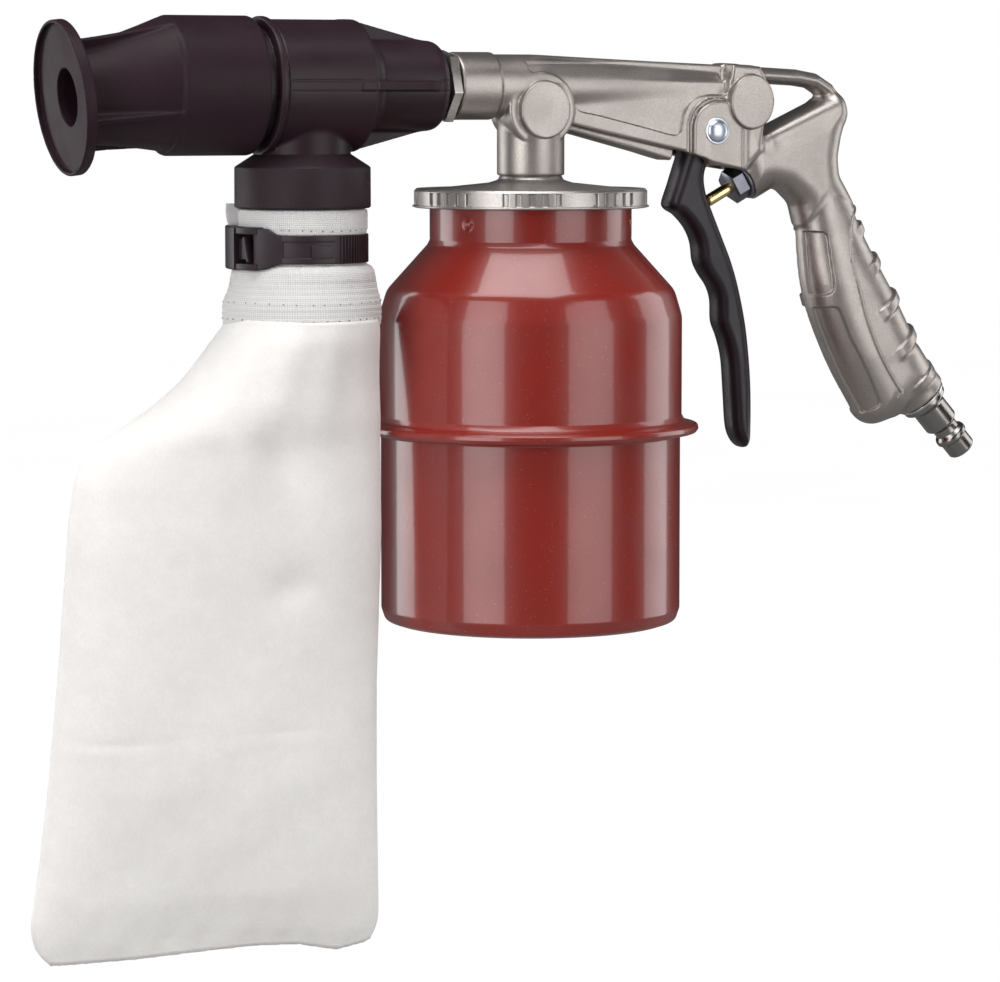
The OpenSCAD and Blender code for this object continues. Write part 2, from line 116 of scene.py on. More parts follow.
def build(name, points, quads, body, material, nodes=(), rims=(), normals=None, crease=35):
    """A mesh object from points in millimetres, riding on a body and standing for CAD nodes."""
    mesh = bpy.data.meshes.new(name)
    faces = [tuple(q) for q in np.asarray(quads).tolist()] + [tuple(r) for r in rims]
    mesh.from_pydata(placed(points).tolist(), [], faces)
    mesh.validate()
    mesh.update()
    mesh.polygons.foreach_set("use_smooth", np.ones(len(mesh.polygons), bool))
    if normals is None:
        mesh.set_sharp_from_angle(angle=math.radians(crease))
    else:
        mesh.normals_split_custom_set_from_vertices(np.asarray(normals).tolist())
    piece = bpy.data.objects.new(name, mesh)
    bpy.context.scene.collection.objects.link(piece)
    mesh.materials.append(material)
    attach(piece, body)
    if nodes:
        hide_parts(*nodes)
    return piece


def loft(rings, cyclic=False, capped=True):
    """Points, quads and end faces of a skin through rings of equal count."""
    rings = np.asarray(rings, float)
    count, sides = rings.shape[:2]
    i, k = np.meshgrid(np.arange(count if cyclic else count - 1), np.arange(sides), indexing="ij")
    j, l = (i + 1) % count, (k + 1) % sides
    quads = np.stack([i * sides + k, i * sides + l, j * sides + l, j * sides + k], -1).reshape(-1, 4)
    ends = []
    if capped and not cyclic:
        ends = [list(range(sides))[::-1], list(range((count - 1) * sides, count * sides))]
    return rings.reshape(-1, 3), quads, ends


def eased(corners, closed=True, step=math.radians(18)):
    """A polyline from corners (a, b, radius): corners with a radius become arcs."""
    out = []
    n = len(corners)
    for i, corner in enumerate(corners):
        here = np.array(corner[:2], float)
        radius = corner[2] if len(corner) > 2 else 0
        if radius == 0 or (not closed and i in (0, n - 1)):
            out.append(here)
            continue
        before = np.array(corners[i - 1][:2], float) - here
        after = np.array(corners[(i + 1) % n][:2], float) - here
        room = min(np.linalg.norm(before), np.linalg.norm(after)) * 0.49
        before /= np.linalg.norm(before)
        after /= np.linalg.norm(after)
        half = math.acos(np.clip(before @ after, -1, 1)) / 2
        if half > math.radians(88.5):
            out.append(here)
            continue
        reach = min(radius / math.tan(half), room)
        radius = reach * math.tan(half)
        bisector = (before + after) / np.linalg.norm(before + after)
        centre = here + bisector * radius / math.sin(half)
        a0 = here + before * reach - centre
        a1 = here + after * reach - centre
        turn = math.atan2(a0[0] * a1[1] - a0[1] * a1[0], a0 @ a1)
        parts = max(2, round(abs(turn) / step))
        for t in np.linspace(0, turn, parts + 1):
            c, s = math.cos(t), math.sin(t)
            out.append(centre + np.array([c * a0[0] - s * a0[1], s * a0[0] + c * a0[1]]))
    return np.array(out)


AXES = {
    "x": np.array([[0, 0, 1], [1, 0, 0], [0, 1, 0]], float),
    "z": np.eye(3),
}


def turned(profile, axis="z", at=(0, 0, 0), sides=160, shift=None):
    """Rings of a lathed shape: profile rows are (radius, distance along the axis)."""
    profile = np.asarray(profile, float)
    angle = np.linspace(0, 2 * math.pi, sides, endpoint=False)
    radius = profile[:, :1] * np.ones_like(angle)
    along = profile[:, 1:2] * np.ones_like(angle)
    if shift is not None:
        radius = radius + shift(angle[None, :], along)
    local = np.stack([radius * np.cos(angle), radius * np.sin(angle), along], -1)
    basis = AXES[axis] if isinstance(axis, str) else np.array(axis, float)
    return local @ basis.T + np.array(at, float)


def lathe(name, profile, body, material, nodes=(), closed=True, **place):
    """A lathed piece. A closed profile is a ring's section, and an open one runs from axis to axis."""
    crease = place.pop("crease", 35)
    rings = turned(profile, **place)
    points, quads, ends = loft(rings, cyclic=closed)
    return build(name, points, quads[:, ::-1], body, material, nodes, rims=[e[::-1] for e in ends],
                 crease=crease)


def axis_basis(direction):
    """Columns of a basis whose third axis is the direction; the second is the row's Y."""
    w = np.array(direction, float)
    w /= np.linalg.norm(w)
    v = np.array([0.0, 1.0, 0.0])
    return np.stack([np.cross(v, w), v, w], -1)


# ---------------------------------------------------------------- sculpting


def smooth_min(a, b, k):
    h = np.clip(0.5 + 0.5 * (b - a) / k, 0, 1)
    return b + (a - b) * h - k * h * (1 - h)


def smooth_max(a, b, k):
    return -smooth_min(-a, -b, k)


def inside(distance, width):
    """1 inside an outline and 0 outside it, with a soft edge of that width."""
    t = np.clip(0.5 - distance / width, 0, 1)
    return t * t * (3 - 2 * t)


def flowing(points, per=6):
    """A closed smooth curve through the points."""
    p = np.array(points, float)
    a, b, c, d = np.roll(p, 1, 0), p, np.roll(p, -1, 0), np.roll(p, -2, 0)
    out = []
    for t in np.linspace(0, 1, per, endpoint=False):
        out.append(0.5 * (2 * b + (c - a) * t + (2 * a - 5 * b + 4 * c - d) * t**2 + (3 * b - a - 3 * c + d) * t**3))
    return np.stack(out, 1).reshape(-1, 2)


class Outline:
    """The signed distance to a closed outline in the XZ plane, negative inside, read from a fine table."""

    STEP = 0.3
    MARGIN = 14

    def __init__(self, points):
        points = np.array(points, float)
        self.low = points.min(0) - self.MARGIN
        count = np.ceil((points.max(0) + self.MARGIN - self.low) / self.STEP).astype(int) + 1
        x = (self.low[0] + self.STEP * np.arange(count[0]))[:, None]
        z = (self.low[1] + self.STEP * np.arange(count[1]))[None, :]
        near = np.full((count[0], count[1]), np.inf)
        within = np.zeros(near.shape, bool)
        for (ax, az), (bx, bz) in zip(points, np.roll(points, -1, 0)):
            ex, ez = bx - ax, bz - az
            t = np.clip(((x - ax) * ex + (z - az) * ez) / max(ex * ex + ez * ez, 1e-9), 0, 1)
            near = np.minimum(near, (x - ax - t * ex) ** 2 + (z - az - t * ez) ** 2)
            if az != bz:
                within ^= ((az > z) != (bz > z)) & (x - ax < ex * (z - az) / ez)
        self.table = np.where(within, -1, 1) * np.sqrt(near)

    def __call__(self, x, z):
        rows, columns = self.table.shape
        u = np.clip((x - self.low[0]) / self.STEP, 0, rows - 1.001)
        v = np.clip((z - self.low[1]) / self.STEP, 0, columns - 1.001)
        i, j = u.astype(int), v.astype(int)
        u, v = u - i, v - j
        t = self.table
        return (t[i, j] * (1 - u) + t[i + 1, j] * u) * (1 - v) + (t[i, j + 1] * (1 - u) + t[i + 1,
                                                                                            j + 1] * u) * v


def plate(flat, y, half, edge=0.6):
    """A plate of half thickness half, from the distance to its outline, with its edges rounded."""
    return smooth_max(flat, np.abs(y) - half, edge * 2)


def pillow(flat, y, half, reach, power=2.2):
    """A plate whose sides curve in elliptically over the last reach of its outline."""
    rim = np.clip((reach + flat) / reach, 0, None)
    value = (rim**power + np.abs(y / half) ** power) ** (1 / power)
    return (value - 1) * np.minimum(reach, half)


def slab(a, lo, hi):
    return np.maximum(lo - a, a - hi)


def slopes(field, p, step=0.04):
    out = []
    for k in range(3):
        d = np.zeros(3)
        d[k] = step
        a, b = p + d, p - d
        out.append((field(a[:, 0], a[:, 1], a[:, 2]) - field(b[:, 0], b[:, 1], b[:, 2])) / (2 * step))
    return np.stack(out, -1)


def sculpt(name, field, low, high, cell, body, material, nodes):
    """Meshes the zero surface of a distance field, then moves each point onto it."""
    low, high = np.array(low, float), np.array(high, float)
    count = np.ceil((high - low) / cell).astype(int) + 1
    x, y, z = (low[k] + cell * np.arange(count[k]) for k in range(3))
    values = field(x[:, None, None], y[None, :, None], z[None, None, :])
    grid = openvdb.FloatGrid(99.0)
    grid.copyFromArray(np.ascontiguousarray(np.broadcast_to(values, count), np.float32))
    points, quads = grid.convertToQuads(0.0)
    points = points.astype(float) * cell + low
    for _ in range(2):
        slope = slopes(field, points)
        value = np.clip(field(points[:, 0], points[:, 1], points[:, 2]), -cell, cell)
        points -= (value / np.maximum((slope**2).sum(1), 0.2))[:, None] * slope
    slope = slopes(field, points)
    normals = slope / np.maximum(np.linalg.norm(slope, axis=1), 1e-6)[:, None]
    quads = quads.astype(int)
    corner = points[quads]
    facing = np.cross(corner[:, 2] - corner[:, 0], corner[:, 3] - corner[:, 1])
    if (facing * normals[quads[:, 0]]).sum() < 0:
        quads = quads[:, ::-1]
    return build(name, points, quads, body, material, nodes, normals=normals)


# ---------------------------------------------------------------- materials


class Look:
    """A procedural material: its constants sit on the shader, and noise drives what varies."""

    def __init__(self, name, **constants):
        self.material = bpy.data.materials.new(name)
        self.material.use_nodes = True
        self.tree = self.material.node_tree
        self.shader = self.tree.nodes["Principled BSDF"]
        self.place = self.add("ShaderNodeTexCoord").outputs["Object"]
        for socket, value in constants.items():
            self.shader.inputs[socket.replace("_", " ")].default_value = value

    def add(self, kind, **settings):
        node = self.tree.nodes.new(kind)
        for key, value in settings.items():
            setattr(node, key, value)
        return node

    def join(self, source, node, socket):
        self.tree.links.new(source, node.inputs[socket])

    def noise(self, size, detail=3, rough=0.55, stretch=(1, 1, 1)):
        """Noise whose lumps are about size millimetres across, stretched along the axes."""
        scaled = self.add("ShaderNodeMapping")
        scaled.inputs["Scale"].default_value = tuple(1 / (size * MM * s) for s in stretch)
        self.join(self.place, scaled, "Vector")
        noise = self.add("ShaderNodeTexNoise")
        self.join(scaled.outputs["Vector"], noise, "Vector")
        noise.inputs["Scale"].default_value = 1
        noise.inputs["Detail"].default_value = detail
        noise.inputs["Roughness"].default_value = rough
        return noise.outputs["Fac"]

    def cells(self, size, feature="F1"):
        cells = self.add("ShaderNodeTexVoronoi", feature=feature)
        self.join(self.place, cells, "Vector")
        cells.inputs["Scale"].default_value = 1 / (size * MM)
        return cells.outputs["Distance"]

    def mapped(self, source, low, high, to_low=0.0, to_high=1.0):
        node = self.add("ShaderNodeMapRange")
        self.join(source, node, "Value")
        for socket, value in (("From Min", low), ("From Max", high), ("To Min", to_low), ("To Max", to_high)):
            node.inputs[socket].default_value = value
        return node.outputs["Result"]

    def math(self, operation, a, b=None):
        node = self.add("ShaderNodeMath", operation=operation)
        for k, value in enumerate((a, b)):
            if value is None:
                continue
            if isinstance(value, (int, float)):
                node.inputs[k].default_value = value
            else:
                self.tree.links.new(value, node.inputs[k])
        return node.outputs["Value"]

    def blend(self, factor, first, second):
        """A colour between two colours or colour outputs."""
        node = self.add("ShaderNodeMix", data_type="RGBA")
        self.join(factor, node, "Factor")
        for socket, value in ((6, first), (7, second)):
            if isinstance(value, tuple):
                node.inputs[socket].default_value = (*value, 1)
            else:
                self.tree.links.new(value, node.inputs[socket])
        return node.outputs[2]

    def colour(self, output):
        self.join(output, self.shader, "Base Color")

    def roughness(self, source, low, high):
        self.join(self.mapped(source, 0.3, 0.7, low, high), self.shader, "Roughness")

    def relief(self, height, depth, strength=1.0, under=None):
        """Adds bump of that depth in millimetres over what is under it."""
        node = self.add("ShaderNodeBump")
        node.inputs["Strength"].default_value = strength
        node.inputs["Distance"].default_value = depth * MM
        self.join(height, node, "Height")
        if under is not None:
            self.join(under, node, "Normal")
        self.join(node.outputs["Normal"], self.shader, "Normal")
        return node.outputs["Normal"]

    def done(self):
        return self.material


def cast_metal(name, tint, grain):
    """Satin nickel on a die casting: a fine sparkling grain under soft clouds."""
    look = Look(name, Metallic=0.92, Roughness=0.4)
    fine = look.noise(grain, 2, 0.75)
    clouds = look.noise(14, 4, 0.6)
    dark = tuple(c * 0.7 for c in tint)
    body = look.blend(look.mapped(fine, 0.32, 0.68), dark, tint)
    look.colour(look.blend(look.mapped(clouds, 0.35, 0.7, 0, 0.5), body, tuple(c * 0.82 for c in tint)))
    look.roughness(clouds, 0.34, 0.44)
    soft = look.relief(look.noise(4, 2), 0.04, 0.4)
    look.relief(fine, 0.08, 0.7, soft)
    return look.done()


def turned_metal(name, tint, rough, metallic=1.0, lines=None):
    """Machined or plated metal with fine tool lines and handling marks."""
    look = Look(name, Metallic=metallic, Roughness=rough)
    stretch = lines or (1, 1, 1)
    fine = look.noise(0.5, 2, 0.6, stretch)
    clouds = look.noise(9, 3)
    look.colour(look.blend(look.mapped(clouds, 0.3, 0.75), tint, tuple(c * 0.78 for c in tint)))
    look.roughness(clouds, rough * 0.75, rough * 1.3)
    look.relief(fine, 0.015, 0.5)
    return look.done()


def moulded(name, tint, rough, grain, depth, shine=0.35):
    """Moulded nylon or rubber: nearly black, with a fine spark-eroded grain and faint cloudy gloss."""
    look = Look(name, Roughness=rough)
    look.shader.inputs["Specular IOR Level"].default_value = shine
    clouds = look.noise(22, 4, 0.6)
    fine = look.noise(grain, 2, 0.6)
    body = look.blend(look.mapped(clouds, 0.3, 0.75), tint, tuple(c * 1.45 for c in tint))
    look.colour(look.blend(look.mapped(fine, 0.45, 0.8, 0, 0.5), body, tuple(c * 1.9 for c in tint)))
    look.roughness(clouds, rough * 0.85, rough * 1.2)
    look.relief(fine, depth, 0.6)
    return look.done()


def enamel(name, tint):
    """Glossy baked enamel with a slight orange peel, dust specks and a little dulling."""
    look = Look(name, Roughness=0.3, Coat_Weight=0.55, Coat_Roughness=0.08)
    clouds = look.noise(30, 3)
    specks = look.mapped(look.noise(0.7, 1), 0.7, 0.78)
    body = look.blend(look.mapped(clouds, 0.3, 0.7), tint, tuple(c * 0.82 for c in tint))
    look.colour(look.blend(look.math("MULTIPLY", specks, 0.35), body, (0.5, 0.25, 0.22)))
    look.roughness(clouds, 0.26, 0.36)
    peel = look.relief(look.noise(3.2, 2), 0.02, 0.5)
    look.tree.links.new(peel, look.shader.inputs["Coat Normal"])
    return look.done()


def felt(name, tint):
    """Needled cotton felt: short tangled fibres, soft mottling and a few faint stains."""
    look = Look(name, Roughness=0.95, Sheen_Weight=0.35, Sheen_Roughness=0.5)
    look.shader.inputs["Specular IOR Level"].default_value = 0.15
    fibres = look.noise(0.55, 4, 0.75, (1, 1, 2.2))
    mottle = look.noise(7, 4, 0.7)
    stains = look.noise(70, 2)
    body = look.blend(look.mapped(mottle, 0.3, 0.7), tuple(c * 0.93 for c in tint), tint)
    body = look.blend(look.mapped(fibres, 0.35, 0.65, 0, 0.5), body, tuple(c * 0.86 for c in tint))
    look.colour(look.blend(look.mapped(stains, 0.55, 0.8, 0, 0.35), body, (0.74, 0.7, 0.66)))
    lumps = look.relief(mottle, 0.5, 0.4)
    look.relief(fibres, 0.18, 0.7, lumps)
    return look.done()


def knit(name, tint, axis_x, wale, course):
    """Ribbed elastic: upright wales round the cuff crossed by rows of loops, with painted shade darkening the
    hollows between the loops.
    """
    look = Look(name, Roughness=0.9, Sheen_Weight=0.3, Sheen_Roughness=0.5)
    look.shader.inputs["Specular IOR Level"].default_value = 0.2
    parts = look.add("ShaderNodeSeparateXYZ")
    look.join(look.place, parts, "Vector")
    across = look.math("SUBTRACT", parts.outputs["X"], axis_x)
    angle = look.math("ARCTAN2", parts.outputs["Y"], across)
    wales = look.math("SINE", look.math("MULTIPLY", angle, round(2 * math.pi * 22 / wale)))
    rows = look.math("SINE", look.math("MULTIPLY", parts.outputs["Z"], 2 * math.pi / (course * MM)))
    loops = look.math("MULTIPLY", look.math("ADD", wales, 1.2), look.math("ADD", rows, 1.6))
    height = look.mapped(loops, 0, 5.5)
    fuzz = look.noise(0.5, 3, 0.7)
    # Painted shade: the colour is darker where the loop height is low, in the hollows between wales and rows.
    body = look.blend(height, tuple(c * 0.76 for c in tint), tint)
    look.colour(look.blend(look.mapped(fuzz, 0.35, 0.7, 0, 0.4), body, tuple(c * 0.9 for c in tint)))
    threads = look.relief(height, 0.2, 0.9)
    look.relief(fuzz, 0.1, 0.6, threads)
    return look.done()


CUFF_X = middle("bag_cuff").x
LOOKS = {
    "cast_nickel": cast_metal("cast_nickel", (0.42, 0.382, 0.358), 0.4),
    "lid_nickel": cast_metal("lid_nickel", (0.46, 0.43, 0.415), 0.5),
    "plated_steel": turned_metal("plated_steel", (0.52, 0.5, 0.48), 0.3),
    "fibre": moulded("fibre", (0.03, 0.014, 0.012), 0.8, 0.5, 0.06),
    "tool_steel": turned_metal("tool_steel", (0.24, 0.24, 0.25), 0.36),
    "brass": turned_metal("brass", (0.78, 0.6, 0.3), 0.26),
    "black_moulding": moulded("black_moulding", (0.0155, 0.0068, 0.0105), 0.4, 0.5, 0.02, 0.25),
    "black_rough": moulded("black_rough", (0.0155, 0.0075, 0.011), 0.55, 0.8, 0.16, 0.27),
    "black_rubber": moulded("black_rubber", (0.0155, 0.0068, 0.0105), 0.5, 0.6, 0.02, 0.15),
    "seal_rubber": moulded("seal_rubber", (0.02, 0.019, 0.018), 0.6, 0.6, 0.03),
    "red_paint": enamel("red_paint", (0.24, 0.017, 0.011)),
    "trigger_plastic": moulded("trigger_plastic", (0.011, 0.007, 0.0105), 0.38, 0.5, 0.015, 0.4),
    "pin_steel": turned_metal("pin_steel", (0.66, 0.72, 0.8), 0.34),
    "gland_steel": turned_metal("gland_steel", (0.22, 0.225, 0.26), 0.42),
    "washer_alloy": turned_metal("washer_alloy", (0.55, 0.55, 0.54), 0.34),
    "plug_steel": turned_metal("plug_steel", (0.3, 0.285, 0.27), 0.24),
    "bag_felt": felt("bag_felt", (0.88, 0.855, 0.835)),
    "cuff_knit": knit("cuff_knit", (0.82, 0.805, 0.8), CUFF_X, 0.72, 0.62),
    "thread": knit("thread", (0.3, 0.285, 0.27), CUFF_X, 0.5, 0.5),
    "strap_plastic": moulded("strap_plastic", (0.018, 0.0105, 0.0145), 0.42, 0.5, 0.03, 0.34),
}


def finish_cad_nodes():
    """Gives every CAD node its slot's material; most of them are then replaced."""
    for part in frame["record"]["subparts"]:
        node = frame["nodes"][part["node"]]
        node.data.materials.clear()
        node.data.materials.append(LOOKS[part["material_slot"]])


finish_cad_nodes()

# ---------------------------------------------------------------- gun casting

PIN = (middle("trigger_pin").x - CROSSING[0]) / MM, (middle("trigger_pin").z - CROSSING[2]) / MM
PLUG_AT = np.array([156.8, -111.6])
PLUG_SLOPE = math.radians(47.8)
PLUG_WAY = np.array([math.cos(PLUG_SLOPE), -math.sin(PLUG_SLOPE)])
VALVE_AT = np.array([79.9, 0, -34.3])
VALVE_WAY = np.array([math.cos(math.radians(28)), 0, math.sin(math.radians(28))])

WEB = Outline([
    (-6, 2), (74, 2), (84, -4), (86, -24), (79, -28.6), (66, -25.8), (56.3, -22.9), (37.6, -18.9),
    (22.1, -15.6),
    (9.1, -12.6), (-6, -9.5),
])
KEEL = Outline([(4, -8), (60, -18), (53.5, -26.2), (47.2, -24.6), (40.2, -22.6), (24.6, -18.6), (9, -14.6),
                (4, -13)])
PANEL = Outline(flowing([
    (13.8, -8.1), (22, -10.1), (30, -12), (41, -14.6), (50.5, -16.9), (53.4, -16.2), (54.4, -13.6),
    (55.1, -9.8),
    (56.7, -6.9), (59.8, -4.3), (64.5, -3.2), (70, -3), (71.8, -1.2), (72.2, 2), (71, 5.5), (60, 10),
    (30, 12),
    (-2, 12), (-5, 6.5), (-4, 4.6), (0, 4.9), (4.4, 3.7), (8, 1.2), (11, -2.4),
], 5))
HOUSING = Outline([(73.6, 7.5), (84.6, 6.9), (87.6, 1.4), (86.4, -13), (84, -22), (79, -28.6), (64, -27),
                   (64, -8), (72, -6)])
ROOF = Outline([(-3, -2), (78, -2), (78, 7.2), (73.7, 7.4), (42, 8.7), (11, 9.9), (2, 10.3), (-3, 9.4)])
NECK = Outline(eased([
    (80, -11), (90, -17, 3), (110, -7.6, 4), (118.6, -3.4, 6), (123.1, -8.4, 6), (122.4, -12.6, 6),
    (120.8, -18, 8),
    (119.5, -25, 9), (120.3, -32, 12), (124.8, -41), (105.2, -48.5), (102.4, -41.4, 6),
    (97.2, -36.6, 6), (91, -35.3, 5), (86.4, -37.2, 2), (83.4, -40.2, 1.5), (78.5, -31, 2), (76, -20),
], step=math.radians(8)))
TOP_BAR = [(74, 4.4), (88, 3.9), (103, 3.1), (110, 1.9), (115.2, -1.2), (118.4, -5.6), (119, -10)]
LOOP_HOLE = Outline(eased([(86, 0.2, 0.5), (108, -0.6, 3.2), (114.5, -4.4, 2.4), (87, -17, 0.5)],
                          step=math.radians(12)))
GRIP = Outline(flowing([
    (104.8, -42), (105.4, -50), (106.2, -60), (107.6, -70), (110.4, -80), (115, -91), (120.6, -102),
    (127.4, -113),
    (131, -118.6), (135.4, -120.9), (141.5, -119.6), (147.6, -117.0), (157.8, -106.6), (158.4, -102),
    (152, -89),
    (145, -76), (137.5, -63), (130.5, -50.5), (125.6, -40.5), (118, -32), (108, -32.5),
], 6))
PALM = Outline(flowing([
    (122.2, -50), (120.9, -56), (121.4, -63), (123.4, -71), (127.2, -83.3), (132.9, -95.7), (139.4, -105.6),
    (141.6, -108.8), (141.0, -111.6), (142.6, -114.6), (149, -122), (166, -118), (170, -98), (148, -56),
    (132, -42), (125, -44.6),
], 5))
FINGER_PANELS = (
    Outline(eased([(98, -51.2), (112.0, -51.2, 2.2), (114.6, -73.6, 3), (98, -74.6)])),
    Outline(eased([(99, -80.0), (116.0, -77.6, 2.6), (121.0, -89), (128.4, -101.8), (134.6, -113.6, 2.0),
                   (124, -120)])),
)
# The sharp upper edge of each rib, from beyond the grip's back to its end on the side
RIBS = [((132.6, -45.0), (124.4, -50.4)), ((139.8, -55.2), (127.8, -64.4)), ((147.6, -68.2), (131.0, -80.4)),
        ((154.6, -81.2), (137.8, -95.0)), ((161.8, -95.0), (146.6, -108.0))]
LOBE = 9.4


def capsule(x, z, a, b, radius):
    ax, az = a
    ex, ez = b[0] - ax, b[1] - az
    t = np.clip(((x - ax) * ex + (z - az) * ez) / (ex * ex + ez * ez), 0, 1)
    return np.hypot(x - ax - t * ex, z - az - t * ez) - radius


def disc(x, z, cx, cz, rx, rz):
    return (np.hypot((x - cx) / rx, (z - cz) / rz) - 1) * min(rx, rz)


def arch(x, z, radius):
    """A disc round the trigger pin that runs on straight down."""
    return np.hypot(x - PIN[0] - 0.6, np.maximum(z - PIN[1] - 0.9, 0)) - radius


def ramp_up(value, low, high):
    t = np.clip((value - low) / (high - low), 0, 1)
    return t * t * (3 - 2 * t)


def rib(x, z, outer, inner):
    """A band below a sharp edge line, fading at its inner end."""
    way = np.array(inner, float) - outer
    length = np.hypot(*way)
    way /= length
    px, pz = x - outer[0], z - outer[1]
    along = px * way[0] + pz * way[1]
    below = pz * way[0] - px * way[1]
    band = ramp_up(below, -0.3, 0.3) * (1 - ramp_up(below, 3.0, 5.2))
    return band * (1 - ramp_up(along, length - 4, length + 1)) * (1 - 0.5 * np.clip(along / length, 0, 1))


def grip_relief(x, y, z):
    """How far the grip's skin stands out: sunk finger panels and palm side, a bead between, and ribs."""
    side = ramp_up(np.abs(y), 2.4, 3.2)
    high = sum(-0.95 * inside(panel(x, z), 0.6) * side for panel in FINGER_PANELS)
    palm = PALM(x, z)
    bead = 0.5 * (1 - ramp_up(np.abs(palm - 0.3), 0.25, 0.95)) * (1 - ramp_up(-z, 110.5, 113))
    high = high - 0.8 * inside(palm, 0.7) * (1 - ramp_up(-z, 98, 110)) + bead
    for outer, inner in RIBS:
        high = high + 1.7 * rib(x, z, outer, inner)
    return high


def gun_field(x, y, z):
    radius = np.hypot(y, z)
    taper = 10.75 - 0.053 * np.clip(x, 0, 74) - 0.75 * inside(PANEL(x, z), 0.5) * ramp_up(-z, -8.4, -7.4)
    tube = smooth_max(radius - taper, slab(x, -18, 71.9), 3.2)
    boss = smooth_max(radius - 11.5, slab(x, -30.3, -15.5), 0.9)
    stem = smooth_max(np.hypot(x, y) - 11.6, slab(z, -30.5, 0), 0.8)
    roof = plate(ROOF(x, z), y, 4.3)
    web_half = 8.9 - 1.5 * inside(PANEL(x, z), 0.5)
    web = plate(WEB(x, z), y, web_half, 0.7)
    keel = plate(KEEL(x, z), y, 5.6, 0.8)
    housing = plate(HOUSING(x, z), y, 10.1, 0.8)
    ring = arch(x, z, 11.4)
    lug = plate(np.maximum(ring, -29 - z), y, 9.6, 0.6)
    lug = np.minimum(lug, plate(np.maximum(arch(x, z, LOBE), -29 - z), y, 10.9, 0.5))
    lug = smooth_max(lug, -plate(np.abs(arch(x, z, LOBE + 0.7)) - 0.55, np.abs(y) - 11, 2.4, 0.2), 0.3)
    lug = smooth_max(lug, WEB(x, z) - 0.2, 0.6)
    near = ramp_up(-y, -1, 1)
    collar = plate(disc(x, z, -0.2, -8, 12.5, 12.5) + 1.6 * (1 - near), y, 10.0, 0.6)
    front_pad = plate(disc(x, z, -0.2, -8, 9.3, 9.8), y + 1.5, 11.5, 0.35)
    pads = np.minimum(front_pad, plate(disc(x, z, 80.0, -5.4, 8.5, 9.5), y, 13, 0.35))
    top_bar = np.min([capsule(x, z, a, b, 0) for a, b in zip(TOP_BAR[:-1], TOP_BAR[1:])], axis=0)
    rails = (np.hypot(top_bar / 2.9, y / 6.2) - 1) * 2.9
    strut = capsule(x, z, (90, -18.6), (117.2, -6.6), 0)
    rails = smooth_min(rails, (np.hypot(strut / 4.5, y / 8.8) - 1) * 4.5, 1.6)
    width = 9.8 + 3.6 * np.clip((-44 - z) / 26, 0, 1) - 1.2 * np.clip((-96 - z) / 24, 0, 1)
    handle = smooth_min(NECK(x, z), GRIP(x, z), 3)
    reach = 9 + 4.5 * np.clip((-34 - z) / 26, 0, 1)
    rails = smooth_min(rails, pillow(handle, y, width, reach, 2.2), 3) - grip_relief(x, y, z)
    rails = smooth_max(rails, -plate(LOOP_HOLE(x, z) + 0.3, y, 14), 1.2)
    valve = np.stack(np.broadcast_arrays(x - VALVE_AT[0], y, z - VALVE_AT[2]), -1)
    along = valve @ VALVE_WAY
    off = np.sqrt(np.maximum((valve**2).sum(-1) - along**2, 0))
    seat = smooth_max(off - 8, slab(along, 3.5, 22), 0.8)
    px, pz = x - PLUG_AT[0], z - PLUG_AT[1]
    out = px * PLUG_WAY[0] + pz * PLUG_WAY[1]
    side = np.sqrt((px * PLUG_WAY[1] - pz * PLUG_WAY[0]) ** 2 + y**2)
    socket = smooth_max(side - 10.0, slab(out, -16, -0.4), 1)
    body = smooth_min(tube, stem, 1.6)
    body = smooth_min(body, web, 1.2)
    body = smooth_min(body, keel, 0.6)
    body = smooth_min(body, roof, 0.7)
    body = smooth_min(body, boss, 0.4)
    body = smooth_min(body, collar, 0.5)
    body = smooth_min(body, lug, 0.5)
    body = smooth_min(body, rails, 1.2)
    body = smooth_min(body, housing, 2.2)
    body = smooth_min(body, socket, 3)
    body = smooth_min(body, seat, 0.8)
    body = smooth_min(body, pads, 0.3)
    slot_way = plate(TRIGGER_SLOT(x, z), y, 7, 0.4)
    body = smooth_max(body, -slot_way, 0.5)
    body = smooth_max(body, -smooth_max(off - 7.6, slab(along, -14, 3.5), 0.3), 0.3)
    body = smooth_max(body, -np.maximum(off - 5.1, slab(along, 0, 12)), 0.3)
    body = smooth_max(body, -np.maximum(side - 6.1, slab(out, -4, 4)), 0.3)
    body = smooth_max(body, -np.maximum(radius - 7, slab(x, -33, -20)), 0.3)
    return smooth_max(body, -np.maximum(np.hypot(x, y) - 7, slab(z, -34, -26)), 0.3)


TRIGGER_SLOT = Outline([(57, -8), (73, -8), (78, -12), (78, -46), (48, -46), (53.6, -16)])
sculpt("gun_casting", gun_field, (-32, -15, -125), (164, 15, 13), 0.56, "gun", LOOKS["cast_nickel"],
       ["gun_body"])

# ---------------------------------------------------------------- recovery head and nozzle

BRANCH_X = (middle("bag_cuff").x - CROSSING[0]) / MM


